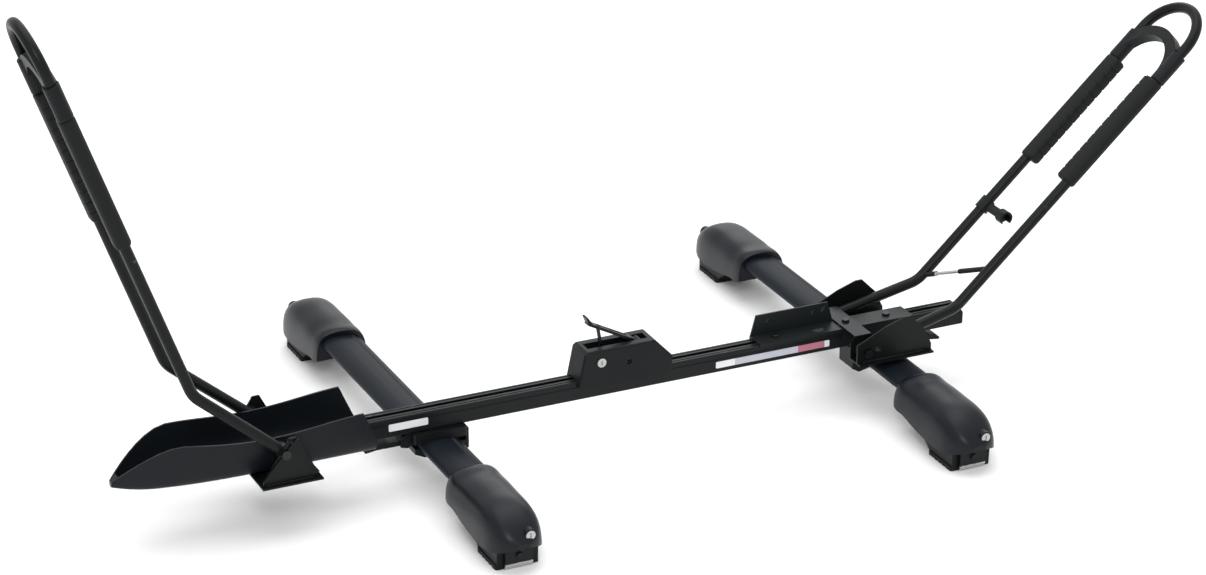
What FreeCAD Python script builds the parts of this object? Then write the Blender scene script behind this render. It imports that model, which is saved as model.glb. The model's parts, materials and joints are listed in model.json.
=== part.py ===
import FreeCAD, Part
import math
import os

# Roof-mounted bicycle carrier that holds a bicycle by its two tyres, on a pair of
# flush crossbars with their four feet.
# Millimetres. +X runs to the tail of the carrier, -X to its nose, +Y to the vehicle's
# right and +Z up. Everything is modelled from a point on the roof midway between the
# crossbars, and moved along X on export so that the whole carrier is centred.

V = FreeCAD.Vector
X_AXIS = V(1, 0, 0)
Y_AXIS = V(0, 1, 0)
Z_AXIS = V(0, 0, 1)

# ---------------------------------------------------------------- driving dimensions
# crossbars
BAR_SPACING = 832.0          # between the two crossbars' centre lines
BAR_TOP = 88.0               # top of the crossbars above the roof
BAR_CHORD = 71.0             # width of the aerofoil section, along X
BAR_HEIGHT = 26.0
BAR_WALL = 2.4
BAR_NOSE_SHARE = 0.40        # part of the chord ahead of the thickest place
BAR_HALF_LENGTH = 450.0

# where the carrier stands on the crossbars
RAIL_Y = -132.0              # the rail stands left of the vehicle's middle
RAIL_LIFT = 13.0             # saddle thickness between crossbar and rail
NOSE_OVERHANG = 292.0        # front crossbar to the front arm's pivot
TAIL_OVERHANG = 159.0        # rear crossbar to the rail's end

# rail
RAIL_WIDTH = 36.0
RAIL_HEIGHT = 34.0
RAIL_WALL = 2.4
RAIL_CORNER = 2.5
SLOT_MOUTH = 9.0             # mouths of the top and bottom T-slots
GROOVE_WIDTH = 2.6           # fine grooves along the top
GROOVE_DEPTH = 1.0
GROOVE_OFFSET = 11.0
SIDE_GROOVE_DROP = 8.0
END_CAP_LENGTH = 12.0
END_CAP_RAKE = 8.0
SPIGOT_LENGTH = 20.0
LOOSE_FIT = 0.4              # between pieces that are pushed together
JOIN = 1.0                   # how far fused pieces and cutting shapes run past a face

# nose cradle
CRADLE_LENGTH = 438.0
CRADLE_AHEAD = 267.0         # of the front pivot
CRADLE_HALF_WIDTH = 58.0
CRADLE_WALL = 3.6
CRADLE_RAKE = 26.0           # how far the open rear edge leans
CRADLE_LAP = 63.0            # rail's length inside the cradle
CRADLE_DEPTH = 79.0          # rim above keel
CRADLE_RIB = 4.0
CRADLE_DROP = 1.4            # of the cradle's floor below the rail
STATION_COUNT = 20
TIP_SHARE = 0.10             # of the full width, at the very tip
FULL_WIDTH_PLACE = 250.0     # from the tip
KEEL_LIFT = 8.0              # of the tip
KEEL_CURVE = 70.0            # length over which the keel rises to the tip
TIP_FALL = 62.0              # of the rim, at the tip
TIP_CURVE = 110.0
RIM_DIP = 13.0               # of the rim between the tip and the open end
DIP_START = 60.0

# tyre arms
TUBE_RADIUS = 9.5
TUBE_WALL = 1.8
LEG_HALF_SPACING = 66.4
PIVOT_SPLAY = 7.6            # the legs stand this much wider at the pivots
LOWER_LEG = 189.7            # pivot to knee
UPPER_LEG = 603.3            # knee to the start of the hoop's round top
KNEE_BEND = 29.85            # degrees
KNEE_RADIUS = 55.0
FRONT_LEAN = 70.39           # degrees of the upper legs above the horizontal
REAR_LEAN = 42.82
FRONT_PIVOT_RISE = 10.0      # above the rail's top
REAR_PIVOT_DROP = 18.0       # below the rail's top
EYE_RADIUS = 13.0
PIN_RADIUS = 4.0
PIN_CLEARANCE = 0.05
BUSH_WALL = 2.0
PIN_HEAD_ACROSS = 15.0
PIN_HEAD_HEIGHT = 5.0

# tyre pads and yoke, measured from the knee along the upper legs
PAD_START = 292.0
PAD_END = 527.0
PAD_SLEEVE = 4.2             # rubber round the tube
PAD_REACH = 26.0             # from the leg's centre towards the tyre
PAD_HEEL = 7.0               # depth of the fin's lower edge
PAD_SLOPE = 2.0              # slant of the fin's face
PAD_PITCH = 20.0
PAD_NOTCH = 2.4
NOTCH_DEPTH = 3.0
YOKE_GAP = 1.0               # between the pads and the yoke
YOKE_SOCKET = 60.0
YOKE_WALL = 4.0
YOKE_ARCH = 20.0             # thickness of the arch
YOKE_RISE = 28.0             # of the arch's outer edge beyond its sockets
YOKE_SADDLE = 14.0           # where the arch's inner edge leaves the sockets
YOKE_ROUND = 1.5

# stow clip and brace rod on the rear arm
CLIP_PLACE = 180.0
CLIP_WIDTH = 24.0
CLIP_RADIUS = 9.0
CLIP_WALL = 3.5
CLIP_TAB = 6.0
CLIP_TAB_WIDTH = 16.0
CLIP_LENGTH = 18.0
CLIP_END_WALL = 4.0
CLIP_TURN = 47.0             # degrees the mouth is turned from the legs' direction
ROD_RADIUS = 3.0
ROD_SLEEVE = 4.6
ROD_FAR_SLEEVE = 34.0
ROD_NEAR_SLEEVE = 70.0
ROD_LOW = 12.0
ROD_HIGH = 92.0

# steel pivot brackets
PLATE = 3.0
CHEEK_GAP = 1.4              # beside the pivot eyes
FLANGE_OUT = 10.0
FRONT_BASE_AHEAD = 44.0      # of the pivot
FRONT_BASE_BEHIND = 60.0
APEX_BEHIND = 13.0
APEX_HALF_WIDTH = 6.0
APEX_DROP = 3.0              # below the cradle's rim
CHEEK_RIB = 2.5              # half width of the crossed ribs on the outer cheeks
EYE_MARGIN = 2.0             # inner cheek beyond the pivot eye, at its foot
BASE_BOLT_INSET = 14.0
BASE_BOLT_Y = 20.0
REAR_BRACKET_AHEAD = 20.0
BRIDGE_INSET = 8.0           # of the pressing's top from its front
REAR_EDGE_RISE = 14.0        # of the rear cheeks' back edge
HUMP_RISE = 55.0             # above the pivot
HUMP_START = 43.0            # the hump's places are taken from the back edge
HUMP_END = 55.0
HUMP_SHOULDER = 91.0
HUMP_SHOULDER_DROP = 12.0
HUMP_BACK = 16.0
HUMP_BACK_RISE = 28.0
CHEEK_NOSE_RISE = 4.0        # of the outer cheek's front above the eye
BOLT_RADIUS = 3.0
BOLT_HOLE = 3.2              # radius of the clearance holes for the bolts
BOLT_HEAD_ACROSS = 10.0
BOLT_HEAD_HEIGHT = 4.0

# carriage on the rail
CARRIAGE_LENGTH = 299.0
CARRIAGE_BEHIND = 66.0       # of the rear crossbar
PIVOT_FROM_END = 126.0       # rear arm's pivot ahead of the carriage's end
CARRIAGE_CLEAR = 0.5
WALL_RISE = 40.0             # above the rail's top
WALL_LENGTH = 162.0
WALL_RAKE = 11.0
WALL_HOLE_RADIUS = 5.0
WALL_HOLE_PLACES = (35.0, 123.0)
WALL_HOLE_DROP = 15.0
SKIRT_DROP = 24.0
NUT_HALF = 7.0
NUT_HEIGHT = 5.0
NUT_ROUND = 1.2
FRONT_BOLT_INSET = 40.0      # of the carriage's end bolts
REAR_BOLT_INSET = 42.0

# latch block
BLOCK_FRONT = -163.0
BLOCK_LENGTH = 177.0
BLOCK_RISE = 54.0            # above the rail's top
BLOCK_OVERLAP = 9.0          # wider than the rail, on each side
BLOCK_SKIRT = 8.0
BLOCK_FIT = 0.2
BLOCK_ROUND = 4.0
BLOCK_FACE_LEAN = 12.0       # of the front face
BLOCK_BEVEL = 6.0
BLOCK_BEVEL_DROP = 4.0
BLOCK_TAIL_RUN = 34.0        # the sloping back
BLOCK_TAIL_DROP = 36.0
BLOCK_TAIL_LEAN = 4.0
WELL_START = 24.0            # from the block's front
WELL_BEHIND = 14.0           # behind the lever's hinge
WELL_DEPTH = 16.0
WELL_ROOM = 3.0              # beside the lever
LEVER_HINGE_PLACE = 121.0    # from the block's front
LEVER_HINGE_DROP = 7.0
LEVER_ANGLE = 28.0
LEVER_LENGTH = 106.0
LEVER_WIDTH = 16.0
LEVER_THICK = 5.0
LEVER_HUB = 6.0
LEVER_TIP_RUN = 10.0
LEVER_TIP_RISE = 8.0
WINDOW_START = 24.0          # of the opening in the lever
WINDOW_END = 62.0
WINDOW_RIM = 4.0
HINGE_RADIUS = 3.0
HINGE_FIT = 0.1
HINGE_GRIP = 5.0             # depth of the hinge pin's seat beside the well
LINK_PLACE = 84.0
LINK_LENGTH = 34.0
LINK_LEAN = 6.0
POCKET_DEPTH = 20.0          # below the well's floor, for the link
LINK_THICK = 4.0
LINK_EYE = 4.0
LINK_FOOT = 3.2
LINK_HALF_WIDTH = 2.6
LINK_PIN_RADIUS = 1.5
BLOCK_LOCK_PLACE = 42.0
BLOCK_LOCK_DROP = 22.0
BLOCK_BOLT_PLACE = 93.0
BLOCK_BOLT_DROP = 29.0
COUNTERBORE_RADIUS = 5.5
COUNTERBORE_DEPTH = 8.0
SOCKET_DEPTH = 3.0
LOCK_RADIUS = 8.0
LOCK_DEPTH = 10.0
LOCK_CLEARANCE = 0.3
LOCK_PROUD = 2.0
KEY_SLOT_WIDTH = 1.8
KEY_SLOT_DEPTH = 3.0

# clamps between the rail and the crossbars
CLAMP_HALF_WIDTH = 30.0      # along the crossbar
CLAMP_OVERHANG = 12.0        # beyond the crossbar's edges, along X
CLAMP_BOLT_INSET = 6.0
EAR_DROP = 4.0               # saddle's wings below the crossbar's top
SADDLE_CORNER = 4.0
JAW_THICK = 6.0
JAW_GAP = 0.4
JAW_TONGUE = 5.0
JAW_TOP_DROP = 4.0           # tongue's top below the rail
JAW_TOP_SLOPE = 2.0
JAW_HEEL_DROP = 3.0
JAW_HEEL_RUN = 8.0
JAW_BELLY_RUN = 14.0
JAW_LIP = 2.0
HANDLE_PIVOT_OUT = 21.0      # beyond the crossbar's edge
HANDLE_LENGTH = 72.0
HANDLE_THICK = 9.0
HANDLE_HALF_WIDTH = 11.5
HANDLE_PIN_RADIUS = 2.5
HANDLE_GAP = 0.5
HANDLE_TIP_RUN = 20.0
HANDLE_TIP_DROP = 7.0
FINGER_PLACE = 40.0
FINGER_RADIUS = 7.0
FINGER_DROP = 11.0
HUB_RADIUS = 9.0
HUB_CLEAR = 0.6
LUG_THICK = 5.0
LUG_ROOT = 8.0
LUG_SHOULDER = 4.0
LUG_FACE = 6.0
LUG_TOE = 3.0

# feet
FOOT_INNER = 292.0           # along Y, from the vehicle's middle
FOOT_BEYOND = 55.0           # cover's nose beyond the crossbar's end
COVER_SIDE = 13.5            # cover's side beyond the crossbar's edge
COVER_WALL = 3.0
COVER_SECTIONS = 12
ROOM_END = 0.90              # share of the cover's length that is hollow
BAR_FIT = 0.3                # between the crossbar and a foot
BASE_SIDE = 0.5              # base's side beyond the crossbar's edge
BASE_INNER = 330.0
BASE_STEP = 6.0              # at the inner end of the base's slope
BASE_FOOT_RISE = 4.0
BASE_FOOT_OUT = 2.0
BASE_FOOT_DROP = 18.0        # below the crossbar
BASE_SHOULDER = 10.0         # from the crossbar's end
BASE_SHOULDER_RUN = 12.0
BASE_SHOULDER_DROP = 14.0
PAD_SIDE = 2.5               # roof pad's side beyond the crossbar's edge
PAD_INNER = 398.0
PAD_OUTER = 474.0
PAD_HEIGHT = 8.0
PAD_CORNER = 5.0
PAD_RIBS = 6
HOOK_GAP = 5.0               # between the roof pad and the hook
HOOK_THICK = 3.0
HOOK_HALF_WIDTH = 24.0
HOOK_TOP = 33.0
HOOK_TOE_LOW = 1.0
HOOK_TOE_HIGH = 3.5
HOOK_BOLT_Z = 24.0
HOOK_BOLT_LENGTH = 34.0
FOOT_LOCK_RADIUS = 8.0
FOOT_LOCK_DROP = 24.0        # below the crossbar's top
FOOT_LOCK_X = 13.0
FOOT_LOCK_DEPTH = 20.0
BOSS_WALL = 2.5

# ---------------------------------------------------------------- derived values
RAIL_BOTTOM = BAR_TOP + RAIL_LIFT
RAIL_TOP = RAIL_BOTTOM + RAIL_HEIGHT
BAR_MIDDLE = BAR_TOP - BAR_HEIGHT / 2
BAR_BOTTOM = BAR_TOP - BAR_HEIGHT
FRONT_PIVOT_X = -BAR_SPACING / 2 - NOSE_OVERHANG
FRONT_PIVOT_Z = RAIL_TOP + FRONT_PIVOT_RISE
CRADLE_TIP = FRONT_PIVOT_X - CRADLE_AHEAD
CRADLE_REAR = CRADLE_TIP + CRADLE_LENGTH
CRADLE_KEEL = RAIL_BOTTOM - CRADLE_WALL - CRADLE_DROP
CRADLE_RIM = CRADLE_KEEL + CRADLE_DEPTH
RAIL_FRONT = CRADLE_REAR - CRADLE_LAP
RAIL_REAR = BAR_SPACING / 2 + TAIL_OVERHANG
CARRIAGE_REAR = BAR_SPACING / 2 + CARRIAGE_BEHIND
CARRIAGE_FRONT = CARRIAGE_REAR - CARRIAGE_LENGTH
WALL_TOP = RAIL_TOP + WALL_RISE
WALL_REAR = CARRIAGE_FRONT + WALL_LENGTH
WALL_HOLE_X = [CARRIAGE_FRONT + place for place in WALL_HOLE_PLACES]
WALL_HOLE_Z = WALL_TOP - WALL_HOLE_DROP
REAR_PIVOT_X = CARRIAGE_REAR - PIVOT_FROM_END
REAR_PIVOT_Z = RAIL_TOP - REAR_PIVOT_DROP
PIVOT_HALF_SPACING = LEG_HALF_SPACING + PIVOT_SPLAY
YOKE_START = PAD_END + YOKE_GAP
BLOCK_REAR = BLOCK_FRONT + BLOCK_LENGTH
BLOCK_TOP = RAIL_TOP + BLOCK_RISE
BLOCK_HALF_WIDTH = RAIL_WIDTH / 2 + BLOCK_OVERLAP
LEVER_HINGE_X = BLOCK_FRONT + LEVER_HINGE_PLACE
LEVER_HINGE_Z = BLOCK_TOP - LEVER_HINGE_DROP
BLOCK_LOCK_X = BLOCK_FRONT + BLOCK_LOCK_PLACE
BLOCK_LOCK_Z = BLOCK_TOP - BLOCK_LOCK_DROP
BLOCK_BOLT_X = BLOCK_FRONT + BLOCK_BOLT_PLACE
BLOCK_BOLT_Z = BLOCK_TOP - BLOCK_BOLT_DROP
FOOT_OUTER = BAR_HALF_LENGTH + FOOT_BEYOND
COVER_HALF_WIDTH = BAR_CHORD / 2 + COVER_SIDE
BASE_HALF_WIDTH = BAR_CHORD / 2 + BASE_SIDE
HOOK_FACE = PAD_OUTER + HOOK_GAP
SHOULDER = BAR_HALF_LENGTH - BASE_SHOULDER


def arm_points(pivot_x, pivot_z, lean, side):
    """Pivot, knee and hoop start in the arm's side view; side is -1 at the nose."""
    low = math.radians(lean - KNEE_BEND)
    high = math.radians(lean)
    knee_x = pivot_x + side * LOWER_LEG * math.cos(low)
    knee_z = pivot_z + LOWER_LEG * math.sin(low)
    knee = V(knee_x, 0, knee_z)
    along = V(side * math.cos(high), 0, math.sin(high))
    return V(pivot_x, 0, pivot_z), knee, along


FRONT_ARM = arm_points(FRONT_PIVOT_X, FRONT_PIVOT_Z, FRONT_LEAN, -1)
REAR_ARM = arm_points(REAR_PIVOT_X, REAR_PIVOT_Z, REAR_LEAN, 1)
CROWN_REACH = UPPER_LEG + LEG_HALF_SPACING
FRONT_END = (FRONT_ARM[1] + FRONT_ARM[2] * CROWN_REACH).x - TUBE_RADIUS
REAR_END = (REAR_ARM[1] + REAR_ARM[2] * CROWN_REACH).x + TUBE_RADIUS
FRAME_X = -(FRONT_END + REAR_END) / 2


# ---------------------------------------------------------------- helpers
def box(x0, x1, y0, y1, z0, z1):
    return Part.makeBox(x1 - x0, y1 - y0, z1 - z0, V(x0, y0, z0))


def polygon(points):
    return Part.makePolygon([V(*p) for p in points] + [V(*points[0])])


def plate_xz(points, y0, y1):
    """A plate with its outline in X and Z, between two Y values."""
    face = Part.Face(polygon([(x, y0, z) for x, z in points]))
    return face.extrude(V(0, y1 - y0, 0))


def prism_yz(points, x0, x1):
    face = Part.Face(polygon([(x0, y, z) for y, z in points]))
    return face.extrude(V(x1 - x0, 0, 0))


def rod(start, end, radius):
    return Part.makeCylinder(radius, (end - start).Length, start, end - start)


def hexagon(centre, axis, across, height):
    """A hexagonal prism for a bolt head, standing on centre along axis."""
    radius = across / math.sqrt(3)
    corners = [V(radius * math.cos(a), radius * math.sin(a), 0)
               for a in (math.radians(60 * i) for i in range(7))]
    prism = Part.Face(Part.makePolygon(corners)).extrude(V(0, 0, height))
    prism.Placement = FreeCAD.Placement(centre, FreeCAD.Rotation(Z_AXIS, axis))
    return prism


def rounded_path(points, radii):
    """Straight runs joined by tangent arcs; radii has one value for each inner point."""
    edges = []
    start = points[0]
    for before, corner, after, radius in zip(points, points[1:], points[2:], radii):
        back = (before - corner).normalize()
        ahead = (after - corner).normalize()
        half_turn = (math.pi - back.getAngle(ahead)) / 2
        cut = radius * math.tan(half_turn)
        enter = corner + back * cut
        leave = corner + ahead * cut
        middle_direction = (back + ahead).normalize()
        middle = corner + middle_direction * (radius / math.cos(half_turn) - radius)
        if (enter - start).Length > 0.01:
            edges.append(Part.LineSegment(start, enter).toShape())
        edges.append(Part.Arc(enter, middle, leave).toShape())
        start = leave
    if (points[-1] - start).Length > 0.01:
        edges.append(Part.LineSegment(start, points[-1]).toShape())
    return Part.Wire(edges)


def sweep_round(path, radius):
    first = path.Edges[0]
    start = first.valueAt(first.FirstParameter)
    tangent = first.tangentAt(first.FirstParameter)
    circle = Part.Wire(Part.makeCircle(radius, start, tangent))
    return path.makePipeShell([circle], True, False)


def fuse(pieces):
    """One solid from pieces that touch or overlap."""
    whole = pieces[0].multiFuse(pieces[1:]) if len(pieces) > 1 else pieces[0]
    return whole.removeSplitter()


def soften(shape, radius, pick):
    """Round the edges that pick chooses."""
    edges = [e for e in shape.Edges if pick(e)]
    return shape.makeFillet(radius, edges)


def along_x(edge):
    box_of = edge.BoundBox
    return box_of.YLength < 0.01 and box_of.ZLength < 0.01


def along_y(edge):
    box_of = edge.BoundBox
    return box_of.XLength < 0.01 and box_of.ZLength < 0.01


def along_z(edge):
    box_of = edge.BoundBox
    return box_of.XLength < 0.01 and box_of.YLength < 0.01


# ---------------------------------------------------------------- crossbars
def aero_face(inset, y):
    """Egg-shaped aerofoil section: two half ellipses that share their height."""
    half_height = BAR_HEIGHT / 2 - inset
    nose = BAR_CHORD * BAR_NOSE_SHARE - inset
    tail = BAR_CHORD - BAR_CHORD * BAR_NOSE_SHARE - inset
    thickest = V(-BAR_CHORD / 2 + BAR_CHORD * BAR_NOSE_SHARE, y, BAR_MIDDLE)
    top = thickest + V(0, 0, half_height)
    bottom = thickest - V(0, 0, half_height)

    def half(length, side):
        ellipse = Part.Ellipse(thickest + V(side * length, 0, 0), top, thickest)
        first = ellipse.parameter(bottom)
        last = ellipse.parameter(top)
        low, high = sorted((first, last))
        arc = Part.ArcOfEllipse(ellipse, low, high)
        middle = arc.value((low + high) / 2)
        if (middle - thickest).x * side < 0:
            arc = Part.ArcOfEllipse(ellipse, high, low + 2 * math.pi)
        return arc.toShape()

    return Part.Face(Part.Wire([half(nose, -1), half(tail, 1)]))


def crossbar(x):
    """Hollow aluminium extrusion with one web inside."""
    length = 2 * BAR_HALF_LENGTH
    outer = aero_face(0, -BAR_HALF_LENGTH).extrude(V(0, length, 0))
    inner = aero_face(BAR_WALL, -BAR_HALF_LENGTH).extrude(V(0, length, 0))
    web_x = -BAR_CHORD / 2 + BAR_CHORD * BAR_NOSE_SHARE
    web = box(web_x - BAR_WALL / 2, web_x + BAR_WALL / 2,
              -BAR_HALF_LENGTH, BAR_HALF_LENGTH, BAR_BOTTOM + JOIN, BAR_TOP - JOIN)
    bar = outer.cut(inner.cut(web))
    bar.translate(V(x, 0, 0))
    return bar


# ---------------------------------------------------------------- rail
def rail():
    half = RAIL_WIDTH / 2
    body = box(RAIL_FRONT, RAIL_REAR, -half, half, RAIL_BOTTOM, RAIL_TOP)
    body = soften(body, RAIL_CORNER, along_x)
    middle = (RAIL_BOTTOM + RAIL_TOP) / 2
    inner = half - RAIL_WALL
    over = box(RAIL_FRONT, RAIL_REAR, -inner, inner, middle + RAIL_WALL / 2, RAIL_TOP - RAIL_WALL)
    under = box(RAIL_FRONT, RAIL_REAR, -inner, inner, RAIL_BOTTOM + RAIL_WALL, middle - RAIL_WALL / 2)
    mouth = SLOT_MOUTH / 2
    top_mouth = box(RAIL_FRONT, RAIL_REAR, -mouth, mouth, RAIL_TOP - 2 * RAIL_WALL, RAIL_TOP)
    low_mouth = box(RAIL_FRONT, RAIL_REAR, -mouth, mouth, RAIL_BOTTOM, RAIL_BOTTOM + 2 * RAIL_WALL)
    cuts = [over, under, top_mouth, low_mouth]
    side_groove = RAIL_TOP - SIDE_GROOVE_DROP
    for side in (-1, 1):
        y = side * GROOVE_OFFSET
        cuts.append(box(RAIL_FRONT, RAIL_REAR, y - GROOVE_WIDTH / 2, y + GROOVE_WIDTH / 2,
                        RAIL_TOP - GROOVE_DEPTH, RAIL_TOP))
        low, high = sorted((side * half, side * (half - GROOVE_DEPTH)))
        cuts.append(box(RAIL_FRONT, RAIL_REAR, low, high, side_groove - GROOVE_WIDTH, side_groove))
    body = body.cut(Part.makeCompound(cuts))
    body.translate(V(0, RAIL_Y, 0))
    return body


def rail_end_cap():
    """Moulded plug with a raked end, its spigot in the rail's upper chamber."""
    half = RAIL_WIDTH / 2
    end = RAIL_REAR + END_CAP_LENGTH
    profile = [(RAIL_REAR, RAIL_BOTTOM), (end, RAIL_BOTTOM), (end, RAIL_TOP - END_CAP_LENGTH),
               (end - END_CAP_RAKE, RAIL_TOP), (RAIL_REAR, RAIL_TOP)]
    cap = plate_xz(profile, -half, half)
    cap = soften(cap, RAIL_CORNER, lambda e: along_x(e) or e.BoundBox.XMax > RAIL_REAR + JOIN)
    middle = (RAIL_BOTTOM + RAIL_TOP) / 2
    inner = half - RAIL_WALL - LOOSE_FIT
    spigot = box(RAIL_REAR - SPIGOT_LENGTH, RAIL_REAR, -inner, inner,
                 middle + RAIL_WALL / 2 + LOOSE_FIT, RAIL_TOP - RAIL_WALL - LOOSE_FIT)
    cap = fuse([cap, spigot])
    cap.translate(V(0, RAIL_Y, 0))
    return cap


# ---------------------------------------------------------------- nose cradle
def cradle_width(distance):
    """Half width at a distance from the tip: it opens quickly, then runs parallel."""
    left = 1 - min(distance / FULL_WIDTH_PLACE, 1.0)
    return CRADLE_HALF_WIDTH * (TIP_SHARE + (1 - TIP_SHARE) * (1 - left ** 3))


def cradle_keel(distance):
    left = max(1 - distance / KEEL_CURVE, 0.0)
    return CRADLE_KEEL + KEEL_LIFT * left ** 2


def cradle_rim(distance):
    """The rim falls away at the tip and sags a little on its way to the open end."""
    left = max(1 - distance / TIP_CURVE, 0.0)
    along = max((distance - DIP_START) / (CRADLE_LENGTH - DIP_START), 0.0)
    return CRADLE_RIM - TIP_FALL * left ** 1.6 - RIM_DIP * math.sin(math.pi * along) ** 2


def cradle_section(x, half_width, keel, rim):
    """Flat keel, sides that curve up to a nearly upright wall, closed across the top."""
    flat = half_width / 2
    height = rim - keel

    def side(sign):
        curve = Part.BezierCurve()
        curve.setPoles([V(x, sign * flat, keel), V(x, sign * half_width, keel),
                        V(x, sign * half_width, keel + 0.4 * height), V(x, sign * half_width, rim)])
        return curve.toShape()

    bottom = Part.LineSegment(V(x, -flat, keel), V(x, flat, keel)).toShape()
    top = Part.LineSegment(V(x, half_width, rim), V(x, -half_width, rim)).toShape()
    return Part.Wire(Part.__sortEdges__([bottom, side(1), top, side(-1)]))


def cradle_hull(start, inset, lid):
    """The boat shape from start to the open end, shrunk by inset and raised by lid at the rim."""
    sections = []
    for i in range(STATION_COUNT + 1):
        distance = start + (CRADLE_LENGTH - start) * (i / STATION_COUNT) ** 1.5
        width = max(cradle_width(distance) - inset, 2.0)
        sections.append(cradle_section(CRADLE_TIP + distance, width, cradle_keel(distance) + inset,
                                       cradle_rim(distance) + lid))
    return Part.makeLoft(sections, True, True)


def nose_cradle():
    shell = cradle_hull(0, 0, 0).cut(cradle_hull(3 * CRADLE_WALL, CRADLE_WALL, 1))
    half = CRADLE_HALF_WIDTH + CRADLE_WALL
    rake = plate_xz([(CRADLE_REAR - CRADLE_RAKE, CRADLE_RIM + CRADLE_WALL),
                     (CRADLE_REAR + 1, CRADLE_KEEL + CRADLE_DEPTH / 4),
                     (CRADLE_REAR + 1, CRADLE_RIM + CRADLE_WALL)], -half, half)
    shell = shell.cut(rake)
    # two ribs across the floor that the rail's front end rests on
    rib_half = RAIL_WIDTH / 2 + CRADLE_RIB
    ribs = [box(x, x + CRADLE_RIB, -rib_half, rib_half, CRADLE_KEEL + CRADLE_WALL / 2, RAIL_BOTTOM)
            for x in (RAIL_FRONT + CRADLE_RIB, CRADLE_REAR - 4 * CRADLE_RIB)]
    shell = fuse([shell] + ribs)
    shell.translate(V(0, RAIL_Y, 0))
    return shell


# ---------------------------------------------------------------- pivot brackets
def cheek(outline, y_inner, side, hole_x, hole_z):
    """One upright steel plate beside a pivot eye, with the hole for the pin."""
    low, high = sorted((side * y_inner, side * (y_inner + PLATE)))
    plate = plate_xz(outline, low, high)
    hole = Part.makeCylinder(PIN_RADIUS + 2 * PIN_CLEARANCE, 4 * PLATE,
                             V(hole_x, low - PLATE, hole_z), Y_AXIS)
    return plate.cut(hole)


INNER_CHEEK = PIVOT_HALF_SPACING - TUBE_RADIUS - CHEEK_GAP - PLATE
OUTER_CHEEK = PIVOT_HALF_SPACING + TUBE_RADIUS + CHEEK_GAP
FRONT_BASE = CRADLE_KEEL - LOOSE_FIT - PLATE
FRONT_BASE_LEFT = FRONT_PIVOT_X - FRONT_BASE_AHEAD
FRONT_BASE_RIGHT = FRONT_PIVOT_X + FRONT_BASE_BEHIND
FRONT_APEX = CRADLE_RIM - APEX_DROP
FRONT_BOLT_X = (FRONT_BASE_LEFT + BASE_BOLT_INSET, FRONT_BASE_RIGHT - BASE_BOLT_INSET)
FRONT_BOLT_PLACES = [(x, y) for x in FRONT_BOLT_X for y in (-BASE_BOLT_Y, BASE_BOLT_Y)]


def front_pivot_bracket():
    """Steel cradle under the nose: a floor plate with a triangular cheek on each side."""
    x0, x1, z0 = FRONT_BASE_LEFT, FRONT_BASE_RIGHT, FRONT_BASE
    apex = FRONT_PIVOT_X + APEX_BEHIND
    wide = OUTER_CHEEK + PLATE + FLANGE_OUT
    floor = box(x0, x1, -wide, wide, z0, z0 + PLATE)
    edge_top = z0 + 4 * PLATE
    apex_left, apex_right = apex - APEX_HALF_WIDTH, apex + APEX_HALF_WIDTH
    outer = [(x0 + PLATE, z0), (x1 - PLATE, z0), (x1 - 2 * PLATE, edge_top),
             (apex_right, FRONT_APEX), (apex_left, FRONT_APEX), (x0 + 2 * PLATE, edge_top)]
    inner_top = FRONT_PIVOT_Z + EYE_RADIUS
    eye_foot = EYE_RADIUS + EYE_MARGIN
    inner = [(FRONT_PIVOT_X - eye_foot, z0), (FRONT_PIVOT_X + eye_foot, z0),
             (FRONT_PIVOT_X + EYE_RADIUS, inner_top), (FRONT_PIVOT_X - EYE_RADIUS, inner_top)]
    # two ribs cross on each outer cheek, from a foot of the triangle to its other flank
    cross = ((x0 + 2 * PLATE, apex_right), (x1 - 2 * PLATE, apex_left))
    pieces = [floor]
    for side in (-1, 1):
        pieces.append(cheek(outer, OUTER_CHEEK, side, FRONT_PIVOT_X, FRONT_PIVOT_Z))
        pieces.append(cheek(inner, INNER_CHEEK, side, FRONT_PIVOT_X, FRONT_PIVOT_Z))
        low, high = sorted((side * (OUTER_CHEEK + PLATE), side * (OUTER_CHEEK + 2 * PLATE)))
        for foot, top in cross:
            pieces.append(plate_xz([(foot - CHEEK_RIB, edge_top), (foot + CHEEK_RIB, edge_top),
                                    (top + CHEEK_RIB, FRONT_APEX - PLATE),
                                    (top - CHEEK_RIB, FRONT_APEX - PLATE)], low, high))
    bracket = fuse(pieces)
    heads = [Part.makeCylinder(PIN_HEAD_ACROSS / math.sqrt(3) + LOOSE_FIT, 2 * PLATE,
                               V(FRONT_PIVOT_X, side * (OUTER_CHEEK + PLATE), FRONT_PIVOT_Z),
                               V(0, side, 0)) for side in (-1, 1)]
    holes = [Part.makeCylinder(BOLT_HOLE, 2 * PLATE, V(x, y, z0 - PLATE / 2), Z_AXIS)
             for x, y in FRONT_BOLT_PLACES]
    bracket = bracket.cut(Part.makeCompound(holes + heads))
    bracket.translate(V(0, RAIL_Y, 0))
    return bracket


def front_bracket_bolts():
    """Four bolts that hold the bracket to the cradle, heads below."""
    bolts = []
    for x, y in FRONT_BOLT_PLACES:
        seat = V(x, RAIL_Y + y, FRONT_BASE)
        shank = rod(seat, seat + V(0, 0, PLATE + LOOSE_FIT), BOLT_RADIUS)
        head = hexagon(seat - V(0, 0, BOLT_HEAD_HEIGHT), Z_AXIS, BOLT_HEAD_ACROSS, BOLT_HEAD_HEIGHT)
        bolts.append(fuse([head, shank]))
    return Part.makeCompound(bolts)


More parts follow.
